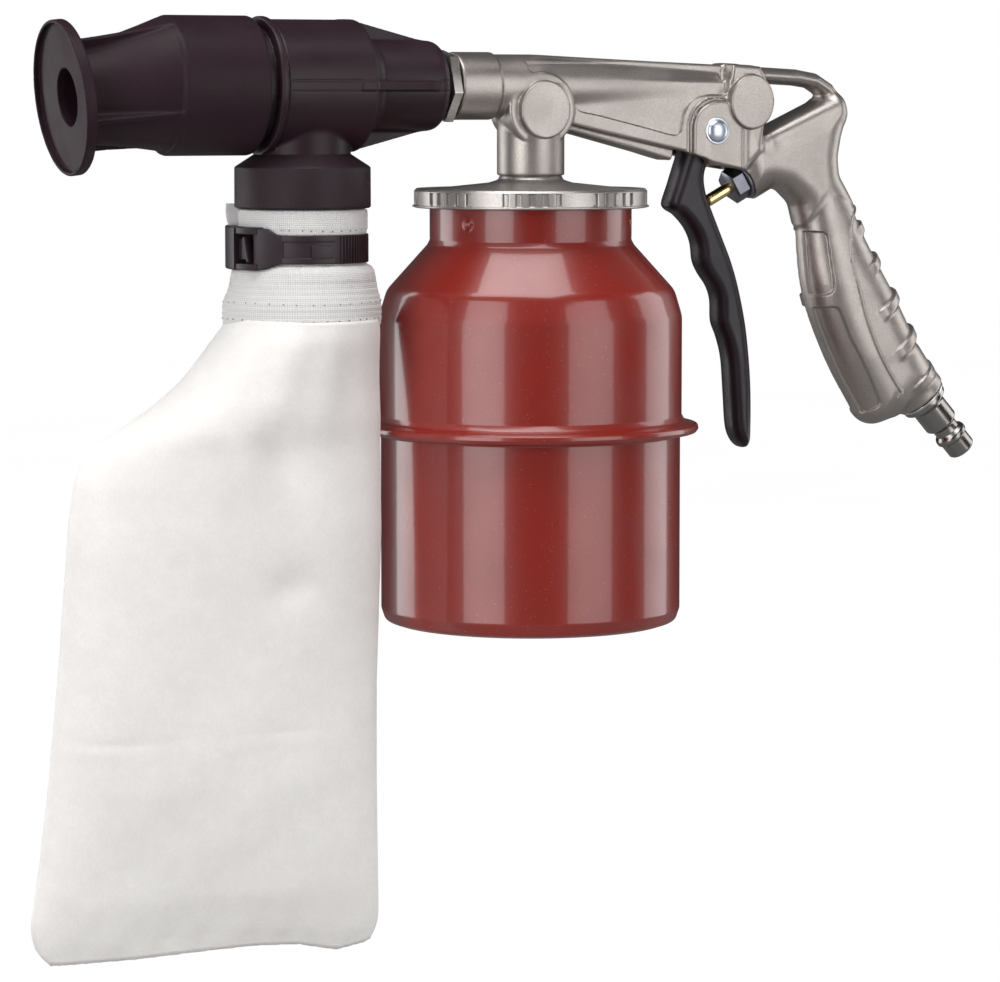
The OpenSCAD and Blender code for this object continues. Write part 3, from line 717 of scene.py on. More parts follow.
def head_field(x, y, z):
    radius = np.hypot(y, z)
    main = smooth_max(radius - 22, slab(x, -98.4, -66.2), 0.8)
    cone = smooth_max(radius - (22 - (x + 68)), slab(x, -68, -61), 0.8)
    rear = smooth_max(radius - 15.25, slab(x, -70, -35.8), 4.6)
    lip = smooth_max(radius - 23, slab(x, -101, -98.4), 0.8)
    body = smooth_min(np.minimum(np.minimum(main, cone), lip), rear, 1.5)
    reach = np.interp(x, [-98, -68, -41, -37], [22, 22, 15, 11])
    for across, out in ((y, z), (z, y)):
        fin = np.maximum(np.abs(across) - 1.7, np.abs(out) - reach)
        fin = smooth_max(fin, slab(x, -72, -38.5), 0.8)
        body = smooth_min(body, fin, 0.7)
    line = np.abs(np.abs(z) - 1.75) - 0.3
    body = body + 0.22 * (1 - ramp_up(line, -0.3, 0.3)) * (1 - ramp_up(slab(x, -97, -37), -0.5, 0.5))
    sleeve = smooth_max(radius - 19.3, slab(x, -122, -99), 0.8)
    branch = np.hypot(x - BRANCH_X, y)
    limb = smooth_max(branch - 16.2, slab(z, -23.4, 0), 0.4)
    body = np.minimum(smooth_min(body, limb, 0.9), sleeve)
    body = smooth_max(body, -np.maximum(radius - 17, slab(x, -124, -66)), 0.4)
    body = np.maximum(body, -np.maximum(radius - 12, slab(x, -67, -47)))
    body = np.maximum(body, -np.maximum(radius - 9, slab(x, -48, -34)))
    return np.maximum(body, -np.maximum(branch - 11.5, slab(z, -40, -10)))


sculpt("head_moulding", head_field, (-123.5, -25, -26), (-34.5, 25, 25), 0.6, "gun", LOOKS["black_moulding"],
       ["recovery_head"])

DROOP = math.radians(6.5)
SLEEVE_FRONT, NECK = -133, 37


def nozzle_field(x, y, z):
    u = (x - SLEEVE_FRONT) * math.cos(DROOP) + z * math.sin(DROOP)
    w = -(x - SLEEVE_FRONT) * math.sin(DROOP) + z * math.cos(DROOP)
    radius = np.hypot(y, z)
    low = np.hypot(y, w)
    sleeve = smooth_max(radius - 23.1, slab(x, -134.5, -104.3), 1.4)
    t = np.clip((u + NECK) / NECK, 0, 1.0)
    swell = 15.5 + 7.0 * t**1.5
    neck = np.maximum(low - swell, slab(u, -NECK + 1, 1))
    body = smooth_min(sleeve, neck, 0.8)
    flange = smooth_max(low - 25.5, slab(u, -NECK, -NECK + 3.8), 0.7)
    body = smooth_min(body, flange, 3.0)
    for turn in range(4):
        angle = math.radians(25 + 90 * turn)
        out = y * math.cos(angle) + w * math.sin(angle)
        side = -y * math.sin(angle) + w * math.cos(angle)
        fin = smooth_max(np.maximum(out - 20.3 - 2.2 * t**2, -out), np.abs(side) - 0.8 - 0.02 * (24 - out),
                         0.5)
        body = smooth_min(body, np.maximum(fin, slab(u, -NECK + 2, 0)), 1.2)
    bore = np.interp(u, [-NECK - 1, -NECK + 5, -NECK + 9, 10], [9.4, 9.4, 10, 17.6])
    body = smooth_max(body, -np.maximum(low - bore, slab(u, -NECK - 2, 10)), 0.8)
    floor = 1.9 + 0.045 * (24.3 - low)
    body = smooth_max(body, -np.maximum(low - 24.3, u + NECK - floor), 0.3)
    return smooth_max(body, -np.maximum(radius - 19.6, slab(x, -126, -100)), 0.4)


sculpt("nozzle_rubber", nozzle_field, (-174, -27, -32), (-103.5, 27, 26), 0.56, "spot",
       LOOKS["black_rubber"], ["spot_nozzle"])

# ---------------------------------------------------------------- trigger

TRIGGER = Outline(flowing([
    (60.0, -17), (57.4, -24.6), (54.2, -34), (52.0, -40.4), (53.0, -43.0), (56.4, -45), (60.6, -49.4),
    (63.2, -54.6),
    (64.2, -61.2), (66.3, -65.6), (69.6, -70.2), (71.3, -75), (71.7, -82.6), (74.0, -88.6), (75.9, -96),
    (76.9, -108), (77.8, -119.4), (79.6, -124.6), (82.4, -127.3), (84.3, -126.2), (85.1, -121.6),
    (84.9, -104), (83.1, -86), (80.2, -72), (77, -61.6), (73, -52.2), (68.4, -41.6), (66.4, -36),
    (66.2, -29.6), (70.4, -19),
], 6))


def trigger_field(x, y, z):
    lever = pillow(TRIGGER(x, z), y, 6.3, 4.6, 2.6)
    hub = smooth_max(np.hypot(x - PIN[0], z - PIN[1]) - 8.4, np.abs(y) - 6.3, 0.8)
    body = smooth_min(lever, hub, 1.5)
    return smooth_max(body, -(np.hypot(x - PIN[0], z - PIN[1]) - 2.55), 0.3)


sculpt("trigger_lever", trigger_field, (50, -7, -129), (88, 7, -5.5), 0.5, "trigger",
       LOOKS["trigger_plastic"], ["trigger"])

# ---------------------------------------------------------------- cup, lid and suction line

# Grooves in a group, and degrees from one to the next
TEETH, TOOTH_STEP = 5, 6.4


def lid_teeth(angle, z):
    """Grooves cut in the lid's rim, in groups."""
    turn = np.degrees(angle) - 20
    place = (turn + 22.5) % 45 - 22.5
    group = np.abs(place) < TEETH * TOOTH_STEP / 2
    within = (place + TOOTH_STEP / 2) % TOOTH_STEP - TOOTH_STEP / 2
    groove = np.clip((1.5 - np.abs(within)) / 0.45, 0, 1)
    rim = np.clip((z + 40.3) / 0.25, 0, 1) * np.clip((-36 - z) / 0.25, 0, 1)
    return -0.95 * groove * group * rim


def lid_teeth_on_rim(angle, along):
    return lid_teeth(angle, along) * RIM_ONLY[:, None]


def rim_mask(profile):
    return (profile[:, 0] > 39).astype(float)


def add_cup():
    wall = 0.9
    shell = eased([
        (34.5, -38.8, 0.4), (34.75, -39.6, 0.6), (34.7, -52.4, 1.4), (35.6, -54.2, 2.5), (49.6, -69.8, 8),
        (52.2, -78.6, 9),
        (52.2, -112.6, 1), (53.4, -114.6, 1.6), (56.6, -115.6, 1.0), (56.8, -116.4), (52.2 - wall, -116.4),
        (52.2 - wall, -79, 9), (49 - wall, -70.6, 8), (34.7 - wall, -54.4, 2), (34.7 - wall, -38.8, 0.4),
    ], step=math.radians(7))
    shell = neck_rows(np.asarray(shell))
    lathe("cup_upper", shell, "cup", LOOKS["red_paint"], ["cup_shell"], sides=640, shift=dents, crease=50)
    base = eased([
        (0.05, -183.2), (40.6, -183.2, 1), (43.6, -184.6, 1.2), (47.0, -184.7, 1.4), (50.4, -183.6, 2.2),
        (51.75, -179.6, 3),
        (51.7, -119.6, 0.8), (52.6, -118.9, 0.6), (57.2, -118.6, 0.8), (58.05, -117.4, 0.7),
        (57.8, -116.0, 0.7), (56.9, -115.5, 0.3), (56.8, -116.4),
        (50.8, -116.4), (50.8, -180, 3), (48, -182.2, 1), (0.05, -182.3),
    ], closed=False, step=math.radians(7))
    lathe("cup_lower", base, "cup", LOOKS["red_paint"], ["cup_base"], closed=False, sides=288, crease=50)


DENTS = [math.radians(a) for a in (206.6, 326.6, 86.6)]


def neck_rows(profile):
    """The profile with close rows along the neck, so that its punched marks are round."""
    extra = [(34.75, z) for z in np.arange(-42.2, -51, -0.4)]
    start = max(i for i, p in enumerate(profile) if p[0] > 34.6 and -42 < p[1] < -38.9)
    return np.vstack([profile[:start + 1], extra, profile[start + 1:]])


def dents(angle, z):
    """Three round marks punched in the cup's neck, each with a raised middle."""
    total = 0
    for at in DENTS:
        across = ((angle - at + math.pi) % (2 * math.pi) - math.pi) * 34.7
        r = np.hypot(across, z + 46.6)
        total = total - 0.55 * np.exp(-((r - 1.7) / 0.55) ** 2) + 0.3 * np.exp(-(r / 0.8) ** 2)
    return total


def add_suction_line():
    steel, brass = LOOKS["plated_steel"], LOOKS["brass"]
    tube = eased([(4.1, -16, 0.2), (4.1, -172, 0.3), (3.2, -172, 0.2), (3.2, -16)])
    lathe("suction_pipe", tube, "gun", steel, ["suction_tube"], sides=64)
    stud = [(7, -15.5)]
    for turn in range(21):
        stud += [(7.0, -17 - 1.25 * turn), (6.3, -17.6 - 1.25 * turn)]
    stud += [(6.8, -44), (4.15, -44), (4.15, -15.5)]
    lathe("stud_thread", stud, "gun", steel, ["lid_stud"], sides=72, crease=20)
    ring = eased([(35.4, -37.5, 0.4), (35.4, -38.5, 0.4), (30, -38.5, 0.4), (30, -37.5, 0.4)])
    lathe("gasket_ring", ring, "seal", LOOKS["seal_rubber"], ["cup_gasket"], sides=160)


def lid_profile():
    return eased([
        (7, -30.5), (10.6, -30.5, 0.4), (11.3, -32.0, 1.2), (14.5, -33.0, 3), (26, -34.2, 20),
        (37.0, -35.3, 1),
        (38.0, -34.9, 0.5), (39.4, -34.9, 0.7), (40.1, -35.8), (40.1, -36.0), (40.1, -36.25), (40.1, -36.5),
        (40.1, -38),
        (40.1, -40.0), (40.1, -40.25), (40.1, -40.5), (40.7, -40.7, 0.2), (40.7, -41.2, 0.3),
        (39.6, -41.5, 0.3),
        (35.8, -41.4, 0.2), (35.8, -37.2, 0.4), (7, -37.2),
    ])


LID = lid_profile()
RIM_ONLY = rim_mask(LID)
lathe("lid_cap", LID, "gun", LOOKS["lid_nickel"], ["cup_lid"], sides=1080, shift=lid_teeth_on_rim, crease=28)
add_cup()
add_suction_line()

# ---------------------------------------------------------------- small metal parts


def hexagon(half_flat, turn=0.0, corner=0.5):
    """Section of a hexagonal nut with softened corners."""
    far = half_flat / math.cos(math.pi / 6)
    angles = [turn + k * math.pi / 3 for k in range(6)]
    return eased([(far * math.cos(a), far * math.sin(a), corner) for a in angles], step=math.radians(14))


def nut_rings(section, stations, basis, at):
    """Rings of a prism whose corners are turned down at each end: stations are (distance, largest radius)."""
    rings = []
    for along, limit in stations:
        r = np.linalg.norm(section, axis=1)
        scale = np.minimum(1, limit / r)
        flat = section * scale[:, None]
        rings.append(np.column_stack([flat, np.full(len(flat), along)]) @ basis.T + at)
    return rings


def add_nut(name, half_flat, span, bore, basis, at, body, material, nodes, turn=0.0):
    """A chamfered hexagonal nut with a round bore."""
    section = hexagon(half_flat, turn)
    far = half_flat / math.cos(math.pi / 6)
    lo, hi = span
    easing = (far - half_flat) * 0.55
    stations = [(lo, half_flat * 0.98), (lo + easing * 0.5, (far + half_flat) / 2), (lo + easing, far)]
    stations += [(hi - easing, far), (hi - easing * 0.5, (far + half_flat) / 2), (hi, half_flat * 0.98)]
    rings = nut_rings(section, stations, basis, at)
    unit = section / np.linalg.norm(section, axis=1)[:, None] * bore
    for along in (hi, lo):
        rings.append(np.column_stack([unit, np.full(len(unit), along)]) @ basis.T + at)
    points, quads, _ = loft(rings, cyclic=True)
    return build(name, points, quads, body, material, nodes, crease=25)


BARREL = AXES["x"]
VALVE = axis_basis(VALVE_WAY)
PLUG = axis_basis((PLUG_WAY[0], 0, PLUG_WAY[1]))
PLUG_ORIGIN = (PLUG_AT[0], 0, PLUG_AT[1])


# One corner of the adaptor's hexagon points at the near side, a little below the level
HEX_TURN = math.radians(180 + 11)


def add_hardware():
    steel = LOOKS["plated_steel"]
    add_nut("adaptor_hex", 11.2, (-35.2, -30.3), 6, BARREL, (0, 0, 0), "gun", steel, ["hex_adaptor"],
            HEX_TURN)
    add_nut("stud_nut", 12 * math.cos(math.pi / 6), (-42.5, -37.2), 7, np.eye(3), (0, 0, 0), "gun", steel,
            ["lid_nut"])
    gland = LOOKS["gland_steel"]
    add_nut("gland_hex", 5.6, (-2.9, 2.4), 2.2, VALVE, VALVE_AT, "gun", gland, ["gland_nut"],
            math.radians(-4))
    collar = eased([(2.3, 2.3), (7.0, 2.3, 0.5), (7.2, 3.5, 0.4), (2.3, 3.5)])
    lathe("gland_flange", collar, "gun", gland, ["gland_washer"], axis=VALVE, at=VALVE_AT, sides=72)
    tip = -13.3
    stem = eased([
        (0.05, tip), (1.2, tip, 0.5), (2.1, tip + 1.0, 0.8), (2.1, 18.5), (1.4, 18.5), (1.4, 20.5),
        (4.2, 20.5, 0.3),
        (4.2, 22.5, 0.3), (2, 22.5, 0.3), (2, 27, 0.4), (0.05, 27),
    ], closed=False)
    lathe("valve_rod", stem, "valve", LOOKS["brass"], ["valve_stem"], closed=False, axis=VALVE, at=VALVE_AT,
          sides=48)
    dome = [(0.05, -13.0)] + [(4.0 * math.sin(t), -11.2 - 1.8 * math.cos(t)) for t in np.linspace(0.15, 1.5,
                                                                                                  12)]
    dome += [(4.05, -10.8), (2.45, -10.9), (2.45, 11.9), (4.4, 11.9), (4.4, 12.6), (3, 13.6), (0.05, 13.8)]
    pin_basis = np.stack([np.array([0, 0, 1.0]), np.array([1.0, 0, 0]), np.array([0, 1.0, 0])], -1)
    lathe("pivot_rivet", dome, "gun", LOOKS["pin_steel"], ["trigger_pin"], closed=False, axis=pin_basis,
          at=(PIN[0], 0, PIN[1]), sides=72, crease=40)
    rim = eased([(3.9, -11.5, 0.3), (4.7, -11.35, 0.3), (4.75, -10.7), (3.9, -10.7)])
    lathe("pivot_ring", rim, "gun", LOOKS["pin_steel"], [], axis=pin_basis, at=(PIN[0], 0, PIN[1]), sides=72)
    plug = eased([
        (3.5, -14), (6, -14), (6, 1.0), (8.6, 1.0, 0.3), (8.6, 2.8, 0.6), (6.6, 4.4, 0.6), (6.3, 5.0, 0.3),
        (6.3, 13.0, 0.5),
        (5.2, 14.2, 0.4), (4.6, 14.6, 0.5), (4.6, 17.2, 0.6), (5.7, 18.3, 0.4), (6.0, 19.0, 0.4),
        (6.0, 20.2, 0.4),
        (5.2, 20.9, 0.3), (5.2, 26.2, 0.5), (4.5, 27, 0.4), (3.5, 27, 0.3),
    ], step=math.radians(15))
    lathe("hose_plug", plug, "gun", LOOKS["plug_steel"], ["air_plug"], axis=PLUG, at=PLUG_ORIGIN, sides=96)
    washer = eased([(6.05, 0.02, 0.2), (9.2, 0.02, 0.3), (9.2, 1.0, 0.3), (6.05, 1.0, 0.2)])
    lathe("plug_seal", washer, "gun", LOOKS["washer_alloy"], ["plug_washer"], axis=PLUG, at=PLUG_ORIGIN,
          sides=96)


add_hardware()


def add_spring():
    """The valve's return spring: a helix on the valve axis."""
    turns, wire, radius, start, end = 5.5, 0.5, 3.6, 23.0, 35.4
    steps = int(turns * 28)
    rings = []
    for i in range(steps + 1):
        t = i / steps
        a = 2 * math.pi * turns * t
        out = np.array([math.cos(a), math.sin(a), 0])
        centre = out * radius + np.array([0, 0, start + (end - start) * t])
        ring = [centre + wire * (math.cos(b) * out + math.sin(b) * np.array([0, 0, 1]))
                for b in np.linspace(0, 2 * math.pi, 10, endpoint=False)]
        rings.append(np.array(ring) @ VALVE.T + VALVE_AT)
    points, quads, ends = loft(rings)
    spring = build("return_spring", points, quads, "gun", LOOKS["plated_steel"], ["valve_spring"], rims=ends,
                   crease=60)
    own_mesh(spring)


add_spring()

# ---------------------------------------------------------------- bag fitting

AT_BRANCH = (BRANCH_X, 0, 0)


def add_spigot():
    profile = eased([
        (13, -22.0), (15.0, -21.9, 0.4), (15.6, -22.3, 0.3), (22.2, -26.6, 0.5), (22.8, -27.2, 0.4),
        (22.85, -40.2, 0.5), (22.2, -40.7, 0.3),
        (19.5, -40.6), (19.5, -63.4, 0.6), (17, -64, 0.5), (17, -34, 1), (13, -34),
    ])
    lathe("bag_fitting", profile, "gun", LOOKS["black_rough"], ["bag_spigot"], at=AT_BRANCH, sides=192)


def cuff_waves(angle, z):
    """Soft gathers where the strap pulls the knitted cuff in, and rows of loops that stand out low down."""
    pull = np.exp(-(((z + 61) / 5) ** 2)) + np.exp(-(((z + 48) / 3) ** 2))
    folds = 0.16 * np.sin(angle * 17 + 0.8 * np.sin(z * 0.4)) + 0.1 * np.sin(angle * 29 + z * 0.2)
    low = ramp_up(-z, 63, 66)
    rows = (0.03 + 0.05 * low) * np.sin(z * 2 * math.pi / 1.9)
    lean = 0.4 * np.sin(angle * 2 + 1.0) * low
    side = 0.9 * np.exp(-(((angle - math.radians(172)) / 0.5) ** 2)) * ramp_up(-z, 66, 73)
    return folds * pull * 0.8 + rows + lean + side


CUFF_OUTLINE = [
    (20.6, -40.9), (21.4, -41.2), (21.75, -42), (21.75, -46.6), (21.4, -48.8), (20.9, -50), (20.7, -53),
    (20.8, -59),
    (22.6, -59.9), (23.8, -61.4), (24.3, -63.5), (24.6, -66), (25.1, -68.4), (25.9, -71), (26.2, -73.4),
    (26.2, -78.2),
    (25.9, -79.6), (25.2, -80.2),
]
CUFF_INSIDE = [(24.4, -79.6), (24.0, -74), (22.6, -68), (20.2, -63), (19.9, -55), (19.9, -42), (20.2, -41.0)]


def add_cuff():
    outer = np.array(CUFF_OUTLINE)
    along = np.concatenate([[0], np.cumsum(np.linalg.norm(np.diff(outer, axis=0), axis=1))])
    at = np.arange(0, along[-1], 0.3)
    dense = np.column_stack([np.interp(at, along, outer[:, k]) for k in range(2)])
    profile = np.vstack([dense, CUFF_INSIDE])
    lathe("cuff_sleeve", profile, "bag", LOOKS["cuff_knit"], ["bag_cuff"], at=AT_BRANCH, sides=320,
          shift=cuff_waves, crease=70)


add_spigot()
add_cuff()


def arc_bar(name, r_in, r_out, low, high, start, sweep, body, material, nodes=(), ease=0.4, step=2.0):
    """A bar bent round the bag's axis. Its radii and heights may be functions of the angle in degrees."""
    def at(value, angle):
        return value(angle) if callable(value) else value

    count = max(3, int(round(abs(sweep) / step)) + 1)
    rings = []
    full = abs(sweep) >= 360
    angles = np.linspace(start, start + sweep, count, endpoint=not full)
    for angle in angles:
        a, b, c, d = at(r_in, angle), at(r_out, angle), at(low, angle), at(high, angle)
        section = eased([(a, c, ease), (b, c, ease), (b, d, ease), (a, d, ease)], step=math.radians(31))
        turn = math.radians(angle)
        rings.append(np.column_stack([
            BRANCH_X + section[:, 0] * math.cos(turn), section[:, 0] * math.sin(turn), section[:, 1],
        ]))
    points, quads, ends = loft(rings, cyclic=full)
    return build(name, points, quads[:, ::-1], body, material, nodes, rims=[e[::-1] for e in ends], crease=35)


STRAP_LOW, STRAP_HIGH, STRAP_IN, STRAP_OUT = -58.8, -49.2, 20.8, 22.0


def ramp(x, points):
    return float(np.interp(x, [p[0] for p in points], [p[1] for p in points]))


def add_strap():
    """A moulded cable strap: ratchet band, thumb pad, and a buckle head with its pawl."""
    plastic = LOOKS["strap_plastic"]
    arc_bar("strap_loop", STRAP_IN, STRAP_OUT, STRAP_LOW, STRAP_HIGH, 0, 360, "bag", plastic, ["strap_band"],
            step=2)
    for i in range(11):
        arc_bar(f"strap_tooth_{i}", STRAP_OUT - 0.4, STRAP_OUT + 0.5, STRAP_LOW + 0.2, STRAP_HIGH - 0.2,
                282 + i * 3.4, 1.9, "bag", plastic, ease=0.25, step=0.6)
    arc_bar("strap_thumb_pad", STRAP_OUT - 0.4, STRAP_OUT + 0.55, -57.0, -52.6, 255, 17, "bag", plastic,
            ease=0.3)
    for low, high in ((STRAP_LOW + 0.05, STRAP_LOW + 2.2), (STRAP_HIGH - 2.2, STRAP_HIGH - 0.05)):
        arc_bar(f"strap_rail_{abs(low):.0f}", STRAP_OUT - 0.4, STRAP_OUT + 0.4, low, high, 222, 54, "bag",
                plastic, ease=0.3)
    top = lambda a: ramp(a, [(160, -46.3), (206, -46.7), (216, -47.0), (226, -49.0), (231, -49.25)])
    low = lambda a: ramp(a, [(160, -60.8), (206, -60.9), (216, -60.6), (225, -59.0), (231, -58.75)])
    out = lambda a: ramp(a, [(160, 26.0), (184, 26.2), (210, 25.4), (222, 23.6), (231, 22.2)])
    head_from, window_from, window_to = 158, 186.5, 208
    arc_bar("buckle_back", STRAP_OUT - 0.3, out, low, top, head_from, window_from - head_from, "bag", plastic,
            ["strap_buckle"], 0.7)
    arc_bar("buckle_shoulder", STRAP_OUT - 0.3, out, low, top, window_to, 231 - window_to, "bag", plastic,
            ease=0.6)
    for name, c, d in (("buckle_rail_low", -60.8, -58.6), ("buckle_rail_high", -49.0, -46.6)):
        arc_bar(name, STRAP_OUT - 0.3, 25.7, c, d, window_from - 3, window_to - window_from + 6, "bag",
                plastic, ease=0.5)
    arc_bar("pawl_bar", STRAP_OUT + 1.2, STRAP_OUT + 2.4, -57.4, -50.4, 187.5, 13, "pawl", plastic,
            ["strap_pawl"], 0.35)
    rings = []
    for z in np.linspace(-58.0, -49.8, 8):
        turn = math.radians(200.5 - 0.5 * (z + 54))
        c, s = math.cos(turn), math.sin(turn)
        section = eased([(23.0, -0.5, 0.3), (26.0, -0.45, 0.3), (26.2, 0.45, 0.3), (23.0, 0.6, 0.3)])
        rings.append(np.column_stack([BRANCH_X + section[:, 0] * c - section[:, 1] * s,
                                      section[:, 0] * s + section[:, 1] * c, np.full(len(section), z)]))
    points, quads, ends = loft(rings)
    build("pawl_lip", points, quads, "pawl", plastic, rims=ends, crease=35)


add_strap()

# ---------------------------------------------------------------- dust bag

BAG_TOP, BAG_FLOOR = -77.6, -290.2
BAG_LEFT = [(-292, -176), (-290, -178.6), (-287.6, -181.8), (-284, -183.8), (-278, -184.7), (-230, -178),
            (-190, -173.8), (-145, -170), (-130, -167.6),
            (-122, -164), (-117, -158.5), (-108, -142), (-98, -128), (-90, -120.4), (-84, -114.6),
            (-80, -110.6), (-77, -109.6)]
BAG_RIGHT = [(-292, -68), (-290, -66), (-287.6, -64.2), (-284, -63.2), (-234, -64), (-200, -64),
             (-147, -62.2), (-99, -61.6), (-88, -61.2), (-80, -60.9), (-77, -61.4)]
BAG_THICK = [(-292, 1.6), (-288, 4.5), (-284, 8), (-270, 15), (-230, 23), (-170, 27), (-120, 30), (-98, 40),
             (-84, 50), (-77, 50)]
BAG_MID = [(-292, -9), (-150, -9), (-110, -7), (-80, -1.5)]


def steady(z, table):
    table = sorted(table)
    return np.interp(z, [p[0] for p in table], [p[1] for p in table])


def softened(rows, passes):
    """Rows of values with their corners worn down."""
    for _ in range(passes):
        rows[1:-1] = (rows[:-2] + 2 * rows[1:-1] + rows[2:]) / 4
    return rows


def wrinkles(x, z):
    """Soft folds: pulled in below the cuff, one cross crease, and slow billows."""
    near = np.clip((z + 150) / 70, 0, 1)
    fan = np.arctan2(x - BRANCH_X, z + 30)
    folds = 0.45 * near**1.3 * np.sin(fan * 26 + 1.3 * np.sin(z * 0.05)) * np.exp(-(((z + 100) / 38) ** 2))
    billow = 1.0 * np.sin(x * 0.045 + z * 0.02 + 1.0) * np.sin(z * 0.031 + 0.6)
    small = 0.32 * np.sin(x * 0.16 + 2.0 * np.sin(z * 0.04)) * np.sin(z * 0.11 + x * 0.03)
    line = -214.5 + 1.3 * np.sin(x * 0.05) - 0.03 * (x + 120)
    faint = 0.35 + 0.3 * np.sin(x * 0.11) + 0.5 * np.exp(-(((x + 165) / 14) ** 2))
    crease = faint * (-0.35 * np.exp(-(((z - line) / 1.3) ** 2)) + 0.2 * np.exp(-(((z - line + 3.6) / 2.2) ** 2)))
    hem = 0.25 * np.sin(x * 0.42 + 0.7 * np.sin(x * 0.13)) * np.exp(-(((z + 284) / 6) ** 2))
    dents = -2.4 * np.exp(-(((x + 104 + 0.5 * (z + 120)) / 9) ** 2 + ((z + 122) / 13) ** 2))
    dents = dents - 1.7 * np.exp(-(((x + 98) / 9) ** 2 + ((z + 166) / 7) ** 2))
    dents = dents + 1.4 * np.exp(-(((x + 118 + 0.6 * (z + 120)) / 9) ** 2 + ((z + 118) / 15) ** 2))
    return folds + billow + small + crease + hem + dents


def add_bag():
    rows, sides = 170, 224
    z = np.linspace(BAG_TOP, BAG_FLOOR, rows)
    left, right = steady(z, BAG_LEFT), steady(z, BAG_RIGHT)
    thick, mid = steady(z, BAG_THICK), steady(z, BAG_MID)
    left, right, thick, mid = (softened(v, 4) for v in (left, right, thick, mid))
    half, centre = (right - left) / 2, (right + left) / 2
    angle = np.linspace(0, 2 * math.pi, sides, endpoint=False)
    round_off = np.clip((z + 150) / 70, 0, 1)[:, None]
    c, s = np.cos(angle)[None, :], np.sin(angle)[None, :]
    power = 1.0 - 0.12 * (1 - round_off)
    x = centre[:, None] + half[:, None] * np.sign(c) * np.abs(c) ** power
    side = np.sign(s) * np.abs(s) ** (0.9 + 0.1 * round_off)
    y = mid[:, None] + thick[:, None] / 2 * side
    depth = np.ones_like(x) * z[:, None]
    fold = wrinkles(x, depth)
    y = y + fold * side * np.clip((z - BAG_FLOOR) / 6, 0, 1)[:, None] * np.clip((BAG_TOP - z) / 12, 0, 1)[:,
                                                                                                          None]
    hang = np.interp(x, [-186, -176, -150, -125, -108, -92, -78, -68, -62],
                     [3.6, 3.0, 2.8, 3.4, 3.6, 2.6, -0.6, 0.8, 3.0])
    depth = depth + hang * ramp_up(-z, 250, 290)[:, None]
    rings = np.stack([x, y, depth], -1)
    points, quads, ends = loft(rings, capped=False)
    bag = build("bag_shell", points, quads, "bag", LOOKS["bag_felt"], ["dust_bag"],
                rims=[ends[1]] if ends else [], crease=80)
    shell = bag.modifiers.new("felt", "SOLIDIFY")
    shell.thickness = 1.3 * MM
    shell.offset = -1
    return rings


bag_rings = add_bag()


def tube(name, path, radius, body, material, sides=10, wobble=0.0):
    """A round bead along a path in millimetres."""
    path = np.asarray(path, float)
    ahead = np.gradient(path, axis=0)
    ahead /= np.linalg.norm(ahead, axis=1)[:, None]
    up = np.array([0.3, 0.9, 0.31])
    a = np.cross(ahead, up)
    a /= np.linalg.norm(a, axis=1)[:, None]
    b = np.cross(ahead, a)
    t = np.linspace(0, 2 * math.pi, sides, endpoint=False)
    swell = radius * (1 + wobble * np.sin(np.arange(len(path)) * 1.9) * np.sin(np.arange(len(path)) * 0.61))
    rings = path[:, None] + swell[:, None,
                                  None] * (a[:, None] * np.cos(t)[None, :, None] + b[:,
                                                                                     None] * np.sin(t)[None,
                                                                                                       :,
                                                                                                       None])
    points, quads, ends = loft(rings)
    return build(name, points, quads[:, ::-1], body, material, rims=[e[::-1] for e in ends], crease=70)


def add_bag_seams():
    """The welt sewn round the bag's edge and the hem along its floor."""
    rows, sides = bag_rings.shape[:2]
    edge_left, edge_right = bag_rings[:, sides // 2], bag_rings[:, 0]
    start = int(rows * 0.2)
    felt_look = LOOKS["bag_felt"]
    tube("bag_welt_left", edge_left[start:-2] + np.array([0.6, 0, 0]), 0.9, "bag", felt_look, wobble=0.1)
    tube("bag_welt_right", edge_right[8:-2] - np.array([0.9, 0, 0]), 0.8, "bag", felt_look, wobble=0.1)
    floor = bag_rings[-1, sides // 2:]
    floor = np.vstack([floor, bag_rings[-1, :1]])
    tube("bag_hem", floor + np.array([0, 0, 0.3]), 1.2, "bag", felt_look, wobble=0.1)


add_bag_seams()


def stitches(name, radius_at, z, count, length, thick, lean=0.0):
    """A round of short thread stitches pulled into the cuff."""
    points, quads, ends = [], [], []
    for k in range(count):
        a = 2 * math.pi * k / count + 0.02 * math.sin(k * 2.7)
        out = np.array([math.cos(a), math.sin(a), 0])
        way = np.array([-math.sin(a), math.cos(a), lean])
        way /= np.linalg.norm(way)
        centre = np.array([BRANCH_X, 0, z + 0.25 * math.sin(3 * a + z)]) + out * radius_at(a, z)
        side = np.cross(way, out)
        rings = []
        for t, w in ((-0.5, 0.5), (-0.25, 0.9), (0, 1), (0.25, 0.9), (0.5, 0.5)):
            p = centre + way * length * t - out * 0.6 * (2 * t) ** 2
            rings.append([p + thick * w * (math.cos(b) * out * 0.6 + math.sin(b) * side)
                          for b in np.linspace(0, 2 * math.pi, 6, endpoint=False)])
        p, q, e = loft(rings)
        base = sum(len(x) for x in points)
        points.append(p)
        quads.append(q[:, ::-1] + base)
        ends += [[i + base for i in f[::-1]] for f in e]
    build(name, np.vstack(points), np.vstack(quads), "bag", LOOKS["thread"], rims=ends, crease=70)


def cuff_radius(angle, z):
    outline = np.array(CUFF_OUTLINE)[::-1]
    return float(np.interp(z, outline[:, 1], outline[:, 0]) + cuff_waves(angle, z))


stitches("stitches_top", cuff_radius, -47.6, 38, 1.3, 0.3, 1.2)
stitches("stitches_middle", cuff_radius, -71.8, 34, 1.0, 0.3, 0.3)
stitches("stitches_bottom", cuff_radius, -77.4, 38, 1.8, 0.3, 0.2)


